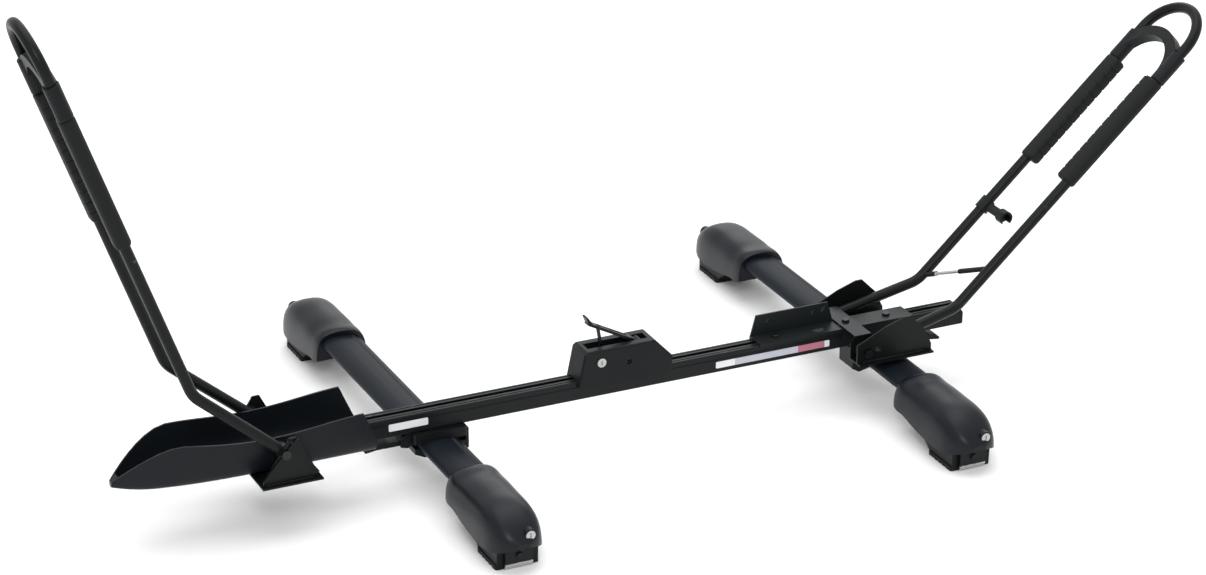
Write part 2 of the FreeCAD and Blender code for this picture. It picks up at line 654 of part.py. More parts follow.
REAR_BASE = RAIL_BOTTOM - PLATE + LOOSE_FIT
REAR_BRACKET_LEFT = REAR_PIVOT_X - REAR_BRACKET_AHEAD
FLOOR_TOP = RAIL_TOP + CARRIAGE_CLEAR + PLATE
BRACKET_BOLT_X = REAR_PIVOT_X + BOLT_HEAD_HEIGHT
CARRIAGE_BOLTS = [CARRIAGE_FRONT + FRONT_BOLT_INSET, CARRIAGE_REAR - REAR_BOLT_INSET, BRACKET_BOLT_X]


def rear_pivot_bracket():
    """Hat-shaped steel pressing: over the carriage, down inside the legs, up outside them."""
    x0, x1, z0 = REAR_BRACKET_LEFT, CARRIAGE_REAR, REAR_BASE
    top = FLOOR_TOP
    inner_end = REAR_PIVOT_X + REAR_BRACKET_AHEAD
    wide = INNER_CHEEK + PLATE
    bridge = box(x0 + BRIDGE_INSET, inner_end, -wide, wide, top, top + PLATE)
    hump = REAR_PIVOT_Z + HUMP_RISE
    eye_top = REAR_PIVOT_Z + EYE_RADIUS
    outer = [(x0, z0), (x1, z0), (x1, z0 + REAR_EDGE_RISE),
             (x1 - HUMP_BACK, REAR_PIVOT_Z + HUMP_BACK_RISE), (x1 - HUMP_START, hump),
             (x1 - HUMP_END, hump), (x1 - HUMP_SHOULDER, hump - HUMP_SHOULDER_DROP),
             (x0, eye_top + CHEEK_NOSE_RISE)]
    inner = [(x0, z0), (inner_end, z0), (inner_end, top + PLATE), (x0 + BRIDGE_INSET, top + PLATE),
             (x0, eye_top)]
    pieces = [bridge]
    for side in (-1, 1):
        pieces.append(cheek(outer, OUTER_CHEEK, side, REAR_PIVOT_X, REAR_PIVOT_Z))
        pieces.append(cheek(inner, INNER_CHEEK, side, REAR_PIVOT_X, REAR_PIVOT_Z))
        low, high = sorted((side * INNER_CHEEK, side * (OUTER_CHEEK + PLATE + FLANGE_OUT)))
        pieces.append(box(x0, x1, low, high, z0, z0 + PLATE))
    bracket = fuse(pieces)
    hole = Part.makeCylinder(BOLT_HOLE, 3 * PLATE, V(BRACKET_BOLT_X, 0, top - PLATE), Z_AXIS)
    bracket = bracket.cut(hole)
    bracket.translate(V(0, RAIL_Y, 0))
    return bracket


def pivot_pins(pivot_x, pivot_z):
    """Two shoulder pins, one for each leg, with a hexagonal head outside the bracket."""
    pins = []
    for side in (-1, 1):
        start = V(pivot_x, RAIL_Y + side * INNER_CHEEK, pivot_z)
        seat = V(pivot_x, RAIL_Y + side * (OUTER_CHEEK + PLATE), pivot_z)
        shank = rod(start, seat, PIN_RADIUS)
        head = hexagon(seat, V(0, side, 0), PIN_HEAD_ACROSS, PIN_HEAD_HEIGHT)
        pins.append(fuse([shank, head]))
    return Part.makeCompound(pins)


# ---------------------------------------------------------------- carriage
def carriage():
    """Sliding channel on the rail, with a tall side wall for the tyre at the far side."""
    inner = RAIL_WIDTH / 2 + CARRIAGE_CLEAR
    outer = inner + PLATE
    under = RAIL_TOP + CARRIAGE_CLEAR
    skirt = under - SKIRT_DROP
    floor = box(CARRIAGE_FRONT, CARRIAGE_REAR, -outer, outer, under, FLOOR_TOP)
    far_skirt = box(CARRIAGE_FRONT, CARRIAGE_REAR, inner, outer, skirt, FLOOR_TOP)
    near_skirt = box(WALL_REAR, CARRIAGE_REAR, -outer, -inner, skirt, FLOOR_TOP)
    near_lip = box(CARRIAGE_FRONT, WALL_REAR, -outer, -inner, under - PLATE, FLOOR_TOP)
    wall = plate_xz([(CARRIAGE_FRONT, under), (CARRIAGE_FRONT + WALL_RAKE, WALL_TOP),
                     (WALL_REAR - WALL_RAKE, WALL_TOP), (WALL_REAR, under)], inner, outer)
    body = fuse([floor, far_skirt, near_skirt, near_lip, wall])
    holes = [Part.makeCylinder(WALL_HOLE_RADIUS, 3 * PLATE, V(x, inner - PLATE, WALL_HOLE_Z), Y_AXIS)
             for x in WALL_HOLE_X]
    holes += [Part.makeCylinder(BOLT_HOLE, 3 * PLATE, V(x, 0, under - PLATE), Z_AXIS)
              for x in CARRIAGE_BOLTS]
    body = body.cut(Part.makeCompound(holes))
    body.translate(V(0, RAIL_Y, 0))
    return body


def carriage_bolts():
    """T-bolts: square nuts in the rail's top slot, round heads above."""
    pieces = []
    for x in CARRIAGE_BOLTS:
        seat = FLOOR_TOP + (PLATE if x == BRACKET_BOLT_X else 0)
        nut_top = RAIL_TOP - RAIL_WALL - LOOSE_FIT
        nut = box(x - NUT_HALF, x + NUT_HALF, RAIL_Y - NUT_HALF, RAIL_Y + NUT_HALF,
                  nut_top - NUT_HEIGHT, nut_top)
        shank = rod(V(x, RAIL_Y, nut_top - JOIN), V(x, RAIL_Y, seat + JOIN), BOLT_RADIUS)
        head = Part.makeCylinder(NUT_HALF - LOOSE_FIT, BOLT_HEAD_HEIGHT, V(x, RAIL_Y, seat), Z_AXIS)
        top = seat + BOLT_HEAD_HEIGHT
        head = soften(head, NUT_ROUND, lambda e, z=top: abs(e.BoundBox.ZMin - z) < 0.01)
        pieces.append(fuse([nut, shank, head]))
    return Part.makeCompound(pieces)


# ---------------------------------------------------------------- latch block
LEVER_HINGE = V(LEVER_HINGE_X, RAIL_Y, LEVER_HINGE_Z)
LEVER_DIRECTION = V(-math.cos(math.radians(LEVER_ANGLE)), 0, math.sin(math.radians(LEVER_ANGLE)))
LINK_PIVOT = LEVER_HINGE + LEVER_DIRECTION * LINK_PLACE
WELL_HALF = LEVER_WIDTH / 2 + WELL_ROOM
BLOCK_LOCK = V(BLOCK_LOCK_X, RAIL_Y - BLOCK_HALF_WIDTH, BLOCK_LOCK_Z)


def latch_block():
    """Moulded block that straddles the rail, with a well in its top for the lever."""
    half = BLOCK_HALF_WIDTH
    low = RAIL_TOP - BLOCK_SKIRT
    lean = BLOCK_FRONT + BLOCK_FACE_LEAN
    profile = [(BLOCK_FRONT, low), (lean, BLOCK_TOP - BLOCK_BEVEL_DROP), (lean + BLOCK_BEVEL, BLOCK_TOP),
               (BLOCK_REAR - BLOCK_TAIL_RUN, BLOCK_TOP), (BLOCK_REAR, BLOCK_TOP - BLOCK_TAIL_DROP),
               (BLOCK_REAR - BLOCK_TAIL_LEAN, low)]
    block = plate_xz(profile, -half, half)
    block = soften(block, BLOCK_ROUND, lambda e: not along_y(e) and e.BoundBox.ZMax > RAIL_TOP)
    block.translate(V(0, RAIL_Y, 0))
    room = RAIL_WIDTH / 2 + BLOCK_FIT
    saddle = box(BLOCK_FRONT - JOIN, BLOCK_REAR + JOIN, RAIL_Y - room, RAIL_Y + room,
                 low - JOIN, RAIL_TOP + BLOCK_FIT)
    start = BLOCK_FRONT + WELL_START
    well = box(start, LEVER_HINGE_X + WELL_BEHIND, RAIL_Y - WELL_HALF, RAIL_Y + WELL_HALF,
               BLOCK_TOP - WELL_DEPTH, BLOCK_TOP + JOIN)
    pocket = box(start, LINK_PIVOT.x + LINK_LENGTH / 2, RAIL_Y - LINK_THICK, RAIL_Y + LINK_THICK,
                 BLOCK_TOP - WELL_DEPTH - POCKET_DEPTH, BLOCK_TOP)
    seat_half = WELL_HALF + HINGE_GRIP
    hinge = Part.makeCylinder(HINGE_RADIUS + HINGE_FIT, 2 * seat_half,
                              LEVER_HINGE - V(0, seat_half, 0), Y_AXIS)
    lock_bore = Part.makeCylinder(LOCK_RADIUS + LOCK_CLEARANCE, LOCK_DEPTH + 2 * JOIN,
                                  BLOCK_LOCK - V(0, JOIN, 0), Y_AXIS)
    bolt_bore = Part.makeCylinder(COUNTERBORE_RADIUS, COUNTERBORE_DEPTH + JOIN,
                                  V(BLOCK_BOLT_X, BLOCK_LOCK.y - JOIN, BLOCK_BOLT_Z), Y_AXIS)
    return block.cut(Part.makeCompound([saddle, well, pocket, hinge, lock_bore, bolt_bore]))


def latch_hinge_pin():
    half = WELL_HALF + HINGE_GRIP - 2 * HINGE_FIT
    return Part.makeCylinder(HINGE_RADIUS, 2 * half, LEVER_HINGE - V(0, half, 0), Y_AXIS)


def block_bolt():
    """Socket-head bolt at the bottom of its counterbore."""
    head = V(BLOCK_BOLT_X, BLOCK_LOCK.y + COUNTERBORE_DEPTH - NUT_HEIGHT, BLOCK_BOLT_Z)
    radius = COUNTERBORE_RADIUS - LOOSE_FIT
    socket = hexagon(head, Y_AXIS, radius, SOCKET_DEPTH)
    return Part.makeCylinder(radius, NUT_HEIGHT, head, Y_AXIS).cut(socket)


def lock_cylinder(centre, outward, radius, depth):
    """A key lock's turning face with its key slot, standing a little proud of centre."""
    face = centre + outward * LOCK_PROUD
    barrel = rod(centre - outward * depth, face, radius)
    slot = Part.makeBox(KEY_SLOT_WIDTH, radius, 2 * KEY_SLOT_DEPTH,
                        V(-KEY_SLOT_WIDTH / 2, -radius / 2, -KEY_SLOT_DEPTH))
    slot.Placement = FreeCAD.Placement(face, FreeCAD.Rotation(Z_AXIS, outward)).multiply(slot.Placement)
    return barrel.cut(slot)


def latch_lever():
    """Flat lever that rises to the nose, with a turned-up finger end."""
    half = LEVER_WIDTH / 2
    thick = LEVER_THICK / 2
    arm = box(0, LEVER_LENGTH, -half, half, -thick, thick)
    tip_end = LEVER_LENGTH + LEVER_TIP_RUN
    tip_top = thick + LEVER_TIP_RISE
    tip = Part.Face(polygon([(LEVER_LENGTH - thick, -half, -thick), (tip_end, -half, tip_top - thick),
                             (tip_end - thick, -half, tip_top),
                             (LEVER_LENGTH - LEVER_TIP_RISE, -half, thick)]))
    tip = tip.extrude(V(0, LEVER_WIDTH, 0))
    hub = Part.makeCylinder(LEVER_HUB, LEVER_WIDTH, V(0, -half, 0), Y_AXIS)
    lever = fuse([arm, tip, hub])
    rim = half - WINDOW_RIM
    window = box(WINDOW_START, WINDOW_END, -rim, rim, -LEVER_THICK, LEVER_THICK)
    slot_half = LINK_THICK / 2 + LOCK_CLEARANCE
    link_slot = box(WINDOW_END - JOIN, LINK_PLACE + LEVER_HUB, -slot_half, slot_half,
                    -LEVER_THICK, LEVER_THICK)
    bore = Part.makeCylinder(HINGE_RADIUS + PIN_CLEARANCE, 2 * LEVER_WIDTH,
                             V(0, -LEVER_WIDTH, 0), Y_AXIS)
    link_bore = Part.makeCylinder(LINK_PIN_RADIUS, 2 * LEVER_WIDTH,
                                  V(LINK_PLACE, -LEVER_WIDTH, 0), Y_AXIS)
    lever = lever.cut(Part.makeCompound([window, link_slot, bore, link_bore]))
    turn = FreeCAD.Rotation(Z_AXIS, 180).multiply(FreeCAD.Rotation(Y_AXIS, -LEVER_ANGLE))
    lever.Placement = FreeCAD.Placement(LEVER_HINGE, turn)
    return lever


def link_pin():
    start = LINK_PIVOT - V(0, LEVER_WIDTH / 2, 0)
    return Part.makeCylinder(LINK_PIN_RADIUS, LEVER_WIDTH, start, Y_AXIS)


def latch_link():
    """Short steel link that hangs from the lever into the block's well."""
    half = V(0, LINK_THICK / 2, 0)
    eye = Part.makeCylinder(LINK_EYE, LINK_THICK, LINK_PIVOT - half, Y_AXIS)
    low = LINK_PIVOT + V(LINK_LEAN, 0, -LINK_LENGTH)
    foot = Part.makeCylinder(LINK_FOOT, LINK_THICK, low - half, Y_AXIS)
    side = V(LINK_HALF_WIDTH, 0, 0)
    corners = (LINK_PIVOT - side, LINK_PIVOT + side, low + side, low - side)
    bar = plate_xz([(p.x, p.z) for p in corners], RAIL_Y - half.y, RAIL_Y + half.y)
    link = fuse([eye, bar, foot])
    return link.cut(Part.makeCylinder(LINK_PIN_RADIUS + PIN_CLEARANCE, 2 * LINK_THICK,
                                      LINK_PIVOT - half * 2, Y_AXIS))


# ---------------------------------------------------------------- rail clamps
EDGE = BAR_CHORD / 2
CLAMP_END = EDGE + CLAMP_OVERHANG
EAR_BOTTOM = BAR_TOP - EAR_DROP
HANDLE_PIVOT = EDGE + HANDLE_PIVOT_OUT
HANDLE_PIVOT_Z = EAR_BOTTOM
CLAMP_BOLT = CLAMP_END - CLAMP_BOLT_INSET


def clamp_x(side, distance):
    """A place beside a crossbar; side is -1 at the nose and distance grows outwards."""
    return side * (BAR_SPACING / 2 + distance)


def clamp_plate(side, profile, low_y, high_y):
    """A solid whose side view is given in distances outwards from the crossbar."""
    return plate_xz([(clamp_x(side, d), z) for d, z in profile], RAIL_Y + low_y, RAIL_Y + high_y)


def bar_space(side):
    """The crossbar's section with a little room all round, through the whole clamp."""
    half = CLAMP_HALF_WIDTH + JOIN
    space = aero_face(-JAW_GAP, RAIL_Y - half).extrude(V(0, 2 * half, 0))
    space.translate(V(side * BAR_SPACING / 2, 0, 0))
    return space


def clamp_saddle(side):
    """Moulded saddle between the crossbar and the rail, with lugs for the handle's pin."""
    half = CLAMP_HALF_WIDTH
    block = clamp_plate(side, [(-CLAMP_END, RAIL_BOTTOM), (CLAMP_END, RAIL_BOTTOM),
                               (CLAMP_END, EAR_BOTTOM), (-CLAMP_END, EAR_BOTTOM)], -half, half)
    block = soften(block, SADDLE_CORNER, along_z)
    pieces = [block]
    tip = HANDLE_PIVOT + HUB_RADIUS
    for low in (-HANDLE_HALF_WIDTH - HANDLE_GAP - LUG_THICK, HANDLE_HALF_WIDTH + HANDLE_GAP):
        outline = [(CLAMP_END - LUG_ROOT, RAIL_BOTTOM), (CLAMP_END + LUG_SHOULDER, RAIL_BOTTOM),
                   (tip, HANDLE_PIVOT_Z + LUG_FACE), (tip, HANDLE_PIVOT_Z - LUG_FACE),
                   (HANDLE_PIVOT - LUG_TOE, HANDLE_PIVOT_Z - HUB_RADIUS),
                   (CLAMP_END - LUG_ROOT, EAR_BOTTOM)]
        pieces.append(clamp_plate(side, outline, low, low + LUG_THICK))
    saddle = fuse(pieces)
    x_hub, z_hub = clamp_x(side, HANDLE_PIVOT), HANDLE_PIVOT_Z
    room_half = HANDLE_HALF_WIDTH + HANDLE_GAP
    hub_room = Part.makeCylinder(HUB_RADIUS + HUB_CLEAR, 2 * room_half,
                                 V(x_hub, RAIL_Y - room_half, z_hub), Y_AXIS)
    pin_bore = Part.makeCylinder(HANDLE_PIN_RADIUS + PIN_CLEARANCE, 4 * room_half,
                                 V(x_hub, RAIL_Y - 2 * room_half, z_hub), Y_AXIS)
    bolt_bores = [Part.makeCylinder(BOLT_HOLE, 2 * BAR_HEIGHT,
                                    V(clamp_x(side, d), RAIL_Y, BAR_BOTTOM), Z_AXIS)
                  for d in (-CLAMP_BOLT, CLAMP_BOLT)]
    return saddle.cut(Part.makeCompound([bar_space(side), hub_room, pin_bore] + bolt_bores))


def clamp_bolts():
    """Four T-bolts up into the rail's bottom slot, two for each saddle."""
    pieces = []
    for x in [clamp_x(side, d) for side in (-1, 1) for d in (-CLAMP_BOLT, CLAMP_BOLT)]:
        nut_low = RAIL_BOTTOM + RAIL_WALL
        nut = box(x - CLAMP_BOLT_INSET, x + CLAMP_BOLT_INSET, RAIL_Y - NUT_HALF, RAIL_Y + NUT_HALF,
                  nut_low, nut_low + NUT_HEIGHT - JOIN)
        head_low = EAR_BOTTOM - BOLT_HEAD_HEIGHT
        shank = rod(V(x, RAIL_Y, head_low + JOIN), V(x, RAIL_Y, nut_low + JOIN), BOLT_RADIUS)
        head = Part.makeCylinder(BOLT_HEAD_ACROSS / 2, BOLT_HEAD_HEIGHT,
                                 V(x, RAIL_Y, head_low), Z_AXIS)
        pieces.append(fuse([nut, shank, head]))
    return Part.makeCompound(pieces)


def clamp_pins():
    """The plain pins that the two cam handles turn on."""
    half = HANDLE_HALF_WIDTH + HANDLE_GAP + LUG_THICK
    pins = [Part.makeCylinder(HANDLE_PIN_RADIUS, 2 * half,
                              V(clamp_x(side, HANDLE_PIVOT), RAIL_Y - half, HANDLE_PIVOT_Z), Y_AXIS)
            for side in (-1, 1)]
    return Part.makeCompound(pins)


def clamp_jaw(side):
    """Lower jaw: a thick cup under the crossbar; its tongue runs up behind the saddle."""
    low = BAR_BOTTOM - JAW_THICK
    inside = CLAMP_END + JAW_GAP
    half = CLAMP_HALF_WIDTH - JAW_THICK
    top = RAIL_BOTTOM - JAW_TOP_DROP
    outside = -inside - JAW_TONGUE
    lip = EDGE + JAW_HEEL_RUN
    level = BAR_MIDDLE - JAW_LIP
    profile = [(-inside, top), (outside, top - JAW_TOP_SLOPE), (outside, BAR_BOTTOM - JAW_HEEL_DROP),
               (-inside + JAW_HEEL_RUN, low - JAW_TONGUE), (-EDGE + JAW_BELLY_RUN, low - JOIN),
               (EDGE - JAW_HEEL_RUN, low), (lip, BAR_BOTTOM + JAW_LIP), (lip, level),
               (-inside + JOIN, level), (-inside, BAR_MIDDLE)]
    jaw = clamp_plate(side, profile, -half, half)
    return jaw.cut(bar_space(side))


def clamp_handle(side):
    """Cam handle that lies outwards under the rail and swings down to let the jaw go."""
    half = HANDLE_HALF_WIDTH
    pivot, z = HANDLE_PIVOT, HANDLE_PIVOT_Z
    thick = HANDLE_THICK / 2
    hub = Part.makeCylinder(HUB_RADIUS, 2 * half, V(clamp_x(side, pivot), RAIL_Y - half, z), Y_AXIS)
    tip = pivot + HANDLE_LENGTH
    arm = clamp_plate(side, [(pivot, z + thick), (tip - 2 * thick, z + thick), (tip, z - thick + JOIN),
                             (tip - 2 * JOIN, z - HANDLE_TIP_DROP), (tip - HANDLE_TIP_RUN, z - thick),
                             (pivot, z - thick)], -half, half)
    handle = fuse([hub, arm])
    finger = Part.makeCylinder(FINGER_RADIUS, 4 * half,
                               V(clamp_x(side, pivot + FINGER_PLACE), RAIL_Y - 2 * half, z - FINGER_DROP),
                               Y_AXIS)
    bore = Part.makeCylinder(HANDLE_PIN_RADIUS + PIN_CLEARANCE, 4 * half,
                             V(clamp_x(side, pivot), RAIL_Y - 2 * half, z), Y_AXIS)
    return handle.cut(Part.makeCompound([finger, bore]))


# ---------------------------------------------------------------- tyre arms
def arm_frame(arm, side):
    """Local axes at the middle of the knees: X up the legs, Z towards the tyre."""
    knee, along = arm[1], arm[2]
    normal = V(-side * along.z, 0, side * along.x)
    across = normal.cross(along)
    return FreeCAD.Placement(knee + V(0, RAIL_Y, 0), FreeCAD.Rotation(along, across, normal, "XYZ"))


BUSH_RADIUS = PIN_RADIUS + PIN_CLEARANCE + BUSH_WALL
EYE_X = -LOWER_LEG * math.cos(math.radians(KNEE_BEND))
EYE_Z = LOWER_LEG * math.sin(math.radians(KNEE_BEND))


def leg_path(sign):
    """From just outside the pivot eye, round the knee, to the start of the hoop."""
    eye = V(EYE_X, sign * PIVOT_HALF_SPACING, EYE_Z)
    knee = V(0, sign * LEG_HALF_SPACING, 0)
    start = eye + (knee - eye).normalize() * (EYE_RADIUS * 0.72)
    return rounded_path([start, knee, V(UPPER_LEG, sign * LEG_HALF_SPACING, 0)], [KNEE_RADIUS])


def hoop_tube():
    """One bent steel tube with a welded eye at each end."""
    crown = Part.Arc(V(UPPER_LEG, LEG_HALF_SPACING, 0), V(CROWN_REACH, 0, 0),
                     V(UPPER_LEG, -LEG_HALF_SPACING, 0)).toShape()
    edges = leg_path(1).Edges + [crown] + leg_path(-1).Edges
    path = Part.Wire(Part.__sortEdges__(edges))
    outer = sweep_round(path, TUBE_RADIUS)
    inner = sweep_round(path, TUBE_RADIUS - TUBE_WALL)
    pieces = [outer.cut(inner)]
    bores = []
    for sign in (-1, 1):
        eye = V(EYE_X, sign * PIVOT_HALF_SPACING - TUBE_RADIUS, EYE_Z)
        pieces.append(Part.makeCylinder(EYE_RADIUS, 2 * TUBE_RADIUS, eye, Y_AXIS))
        bores.append(Part.makeCylinder(BUSH_RADIUS, 2 * (TUBE_RADIUS + JOIN),
                                       eye - V(0, JOIN, 0), Y_AXIS))
    return fuse(pieces).cut(Part.makeCompound(bores))


def arm_bushes():
    bushes = []
    for sign in (-1, 1):
        start = V(EYE_X, sign * PIVOT_HALF_SPACING - TUBE_RADIUS, EYE_Z)
        outer = Part.makeCylinder(BUSH_RADIUS, 2 * TUBE_RADIUS, start, Y_AXIS)
        bore = Part.makeCylinder(PIN_RADIUS + PIN_CLEARANCE, 2 * TUBE_RADIUS, start, Y_AXIS)
        bushes.append(outer.cut(bore))
    return Part.makeCompound(bushes)


def tyre_pad(sign):
    """Rubber pad round one leg, with a notched fin that reaches in to the tyre."""
    sleeve_radius = TUBE_RADIUS + PAD_SLEEVE
    leg_y = sign * LEG_HALF_SPACING
    length = PAD_END - PAD_START
    sleeve = Part.makeCylinder(sleeve_radius, length, V(PAD_START, leg_y, 0), X_AXIS)
    tip = leg_y - sign * PAD_REACH
    fin = prism_yz([(leg_y, -sleeve_radius), (tip, -PAD_HEEL), (tip - sign * PAD_SLOPE, PAD_SLOPE),
                    (tip + sign * PAD_HEEL, sleeve_radius), (leg_y, sleeve_radius)], PAD_START, PAD_END)
    pad = fuse([sleeve, fin])
    notches = []
    count = int(length // PAD_PITCH)
    first = PAD_START + (length - (count - 1) * PAD_PITCH) / 2
    low, high = sorted((tip - sign * PAD_HEEL, tip + sign * NOTCH_DEPTH))
    for i in range(count):
        x = first + i * PAD_PITCH
        notches.append(box(x - PAD_NOTCH / 2, x + PAD_NOTCH / 2, low, high, -PAD_REACH, PAD_REACH))
    tube = Part.makeCylinder(TUBE_RADIUS, length + 2 * JOIN, V(PAD_START - JOIN, leg_y, 0), X_AXIS)
    return pad.cut(Part.makeCompound(notches + [tube]))


def yoke():
    """Moulded arch that joins the two legs above the pads and rests on the tyre."""
    socket_radius = TUBE_RADIUS + YOKE_WALL
    start, end = YOKE_START, YOKE_START + YOKE_SOCKET
    pieces = []
    for sign in (-1, 1):
        socket = Part.makeCylinder(socket_radius, YOKE_SOCKET, V(start, sign * LEG_HALF_SPACING, 0), X_AXIS)
        pieces.append(soften(socket, YOKE_ROUND, lambda e: e.BoundBox.XLength < 0.01))
    outer_y = LEG_HALF_SPACING
    inner_y = outer_y - TUBE_RADIUS + YOKE_WALL - JOIN
    high, low = end - YOKE_WALL, start + YOKE_SADDLE
    outer = Part.Arc(V(high, -outer_y, 0), V(end + YOKE_RISE, 0, 0), V(high, outer_y, 0))
    inner = Part.Arc(V(low, inner_y, 0), V(end + 2 * YOKE_WALL, 0, 0), V(low, -inner_y, 0))
    left = Part.LineSegment(V(low, -inner_y, 0), V(high, -outer_y, 0))
    right = Part.LineSegment(V(high, outer_y, 0), V(low, inner_y, 0))
    face = Part.Face(Part.Wire([outer.toShape(), right.toShape(), inner.toShape(), left.toShape()]))
    face.translate(V(0, 0, -0.4 * YOKE_ARCH))
    arch = face.extrude(V(0, 0, YOKE_ARCH))
    body = fuse([arch] + pieces)
    legs = [Part.makeCylinder(TUBE_RADIUS, 2 * YOKE_SOCKET,
                              V(start - YOKE_SOCKET / 2, sign * outer_y, 0), X_AXIS)
            for sign in (-1, 1)]
    return body.cut(Part.makeCompound(legs))


def stow_clip():
    """Collar on the far leg with a tab that carries an open C at the arm's middle."""
    y = LEG_HALF_SPACING
    collar = Part.makeCylinder(TUBE_RADIUS + CLIP_WALL, CLIP_WIDTH,
                               V(CLIP_PLACE - CLIP_WIDTH / 2, y, 0), X_AXIS)
    open_length = CLIP_LENGTH - CLIP_END_WALL
    start = -open_length / 2
    ring = Part.makeCylinder(CLIP_RADIUS + CLIP_WALL, CLIP_LENGTH, V(CLIP_PLACE, start, 0), Y_AXIS)
    tab = box(CLIP_PLACE - CLIP_TAB_WIDTH / 2, CLIP_PLACE + CLIP_TAB_WIDTH / 2, open_length / 2 + JOIN,
              y - TUBE_RADIUS + JOIN, -CLIP_TAB / 2, CLIP_TAB / 2)
    clip = fuse([collar, ring, tab])
    leg = Part.makeCylinder(TUBE_RADIUS, 2 * CLIP_WIDTH, V(CLIP_PLACE - CLIP_WIDTH, y, 0), X_AXIS)
    hollow = Part.makeCylinder(CLIP_RADIUS, open_length + JOIN, V(CLIP_PLACE, start - JOIN, 0), Y_AXIS)
    mouth_half = 0.8 * CLIP_RADIUS
    mouth = box(-3 * CLIP_RADIUS, 0, start - JOIN, open_length / 2, -mouth_half, mouth_half)
    mouth.Placement = FreeCAD.Placement(V(CLIP_PLACE, 0, 0), FreeCAD.Rotation(Y_AXIS, -CLIP_TURN))
    return clip.cut(Part.makeCompound([leg, hollow, mouth]))


def brace_rod():
    """Slim rod across the legs above the knees, with a sleeve at each end."""
    start = V(ROD_LOW, LEG_HALF_SPACING, 0)
    end = V(ROD_HIGH, -LEG_HALF_SPACING, 0)
    along = (end - start).normalize()
    pieces = [rod(start, end, ROD_RADIUS), rod(start, start + along * ROD_FAR_SLEEVE, ROD_SLEEVE),
              rod(end - along * ROD_NEAR_SLEEVE, end, ROD_SLEEVE)]
    body = fuse(pieces)
    legs = [Part.makeCylinder(TUBE_RADIUS, 2 * ROD_HIGH,
                              V(-ROD_HIGH / 2, sign * LEG_HALF_SPACING, 0), X_AXIS)
            for sign in (-1, 1)]
    return body.cut(Part.makeCompound(legs))


# ---------------------------------------------------------------- feet
# stations along the cover: share of its length, share of its half width, and its lower
# and upper edges from the top of the crossbar
COVER_STATIONS = ((0.0, 0.957, -42.0, 8.5), (0.178, 1.0, -46.0, 10.5), (0.413, 1.0, -54.0, 12.0),
                  (0.624, 1.0, -58.0, 12.0), (0.789, 0.947, -57.0, 4.5), (0.901, 0.787, -52.0, -11.0),
                  (0.962, 0.553, -47.0, -24.0), (1.0, 0.234, -42.0, -34.0))


def cover_section(y, width, low, high):
    """Flat bottom edge and an arched top."""
    height = high - low

    def side(sign):
        curve = Part.BezierCurve()
        curve.setPoles([V(sign * width, y, low), V(sign * width, y, low + 0.75 * height),
                        V(sign * width * 0.8, y, high), V(0, y, high)])
        return curve.toShape()

    bottom = Part.LineSegment(V(-width, y, low), V(width, y, low)).toShape()
    return Part.Wire(Part.__sortEdges__([bottom, side(1), side(-1)]))


def between_stations(place, column):
    """A smooth value from one column of the stations, which never swings past its neighbours."""
    places = [station[0] for station in COVER_STATIONS]
    values = [station[column] for station in COVER_STATIONS]
    slopes = [(b - a) / (q - p) for a, b, p, q in zip(values, values[1:], places, places[1:])]
    bends = [slopes[0]]
    for before, after in zip(slopes, slopes[1:]):
        same_way = before * after > 0
        bends.append(2 * before * after / (before + after) if same_way else 0.0)
    bends.append(slopes[-1])
    i = max(k for k in range(len(slopes)) if places[k] <= place)
    step = places[i + 1] - places[i]
    t = (place - places[i]) / step
    start = values[i] * (1 + 2 * t) * (1 - t) ** 2 + bends[i] * step * t * (1 - t) ** 2
    return start + values[i + 1] * (3 - 2 * t) * t ** 2 - bends[i + 1] * step * (1 - t) * t ** 2


def cover_solid(side, inset, first, last, drop):
    """The cover's outer shape, or with an inset the room inside it, open below by drop."""
    length = FOOT_OUTER - FOOT_INNER
    sections = []
    for i in range(COVER_SECTIONS + 1):
        place = first + (last - first) * math.sin(i / COVER_SECTIONS * math.pi / 2)
        width, low, high = (between_stations(place, column) for column in (1, 2, 3))
        sections.append(cover_section(side * (FOOT_INNER + place * length), COVER_HALF_WIDTH * width - inset,
                                      BAR_TOP + low - drop, BAR_TOP + high - inset))
    return Part.makeLoft(sections, True, False)


def foot_bar_space(side):
    start = side * (FOOT_INNER - COVER_WALL)
    length = side * (BAR_HALF_LENGTH + 2 * BAR_FIT - FOOT_INNER + COVER_WALL)
    return aero_face(-BAR_FIT, start).extrude(V(0, length, 0))


def lock_centre(side):
    return V(-side * FOOT_LOCK_X, side * (FOOT_OUTER - FOOT_LOCK_RADIUS), BAR_TOP - FOOT_LOCK_DROP)


def foot_cover(side):
    """Moulded cover with a rounded nose; the crossbar enters through its inner wall."""
    outer = cover_solid(side, 0, 0, 1, 0)
    room = cover_solid(side, COVER_WALL, COVER_WALL / (FOOT_OUTER - FOOT_INNER), ROOM_END, JOIN)
    shell = outer.cut(room)
    centre = lock_centre(side)
    outward = V(0, side, 0)
    boss = rod(centre - outward * FOOT_LOCK_DEPTH, centre + outward * JOIN, FOOT_LOCK_RADIUS + BOSS_WALL)
    bore = rod(centre - outward * (FOOT_LOCK_DEPTH + JOIN), centre + outward * COVER_WALL,
               FOOT_LOCK_RADIUS + LOCK_CLEARANCE)
    return fuse([shell, boss]).cut(Part.makeCompound([foot_bar_space(side), bore]))


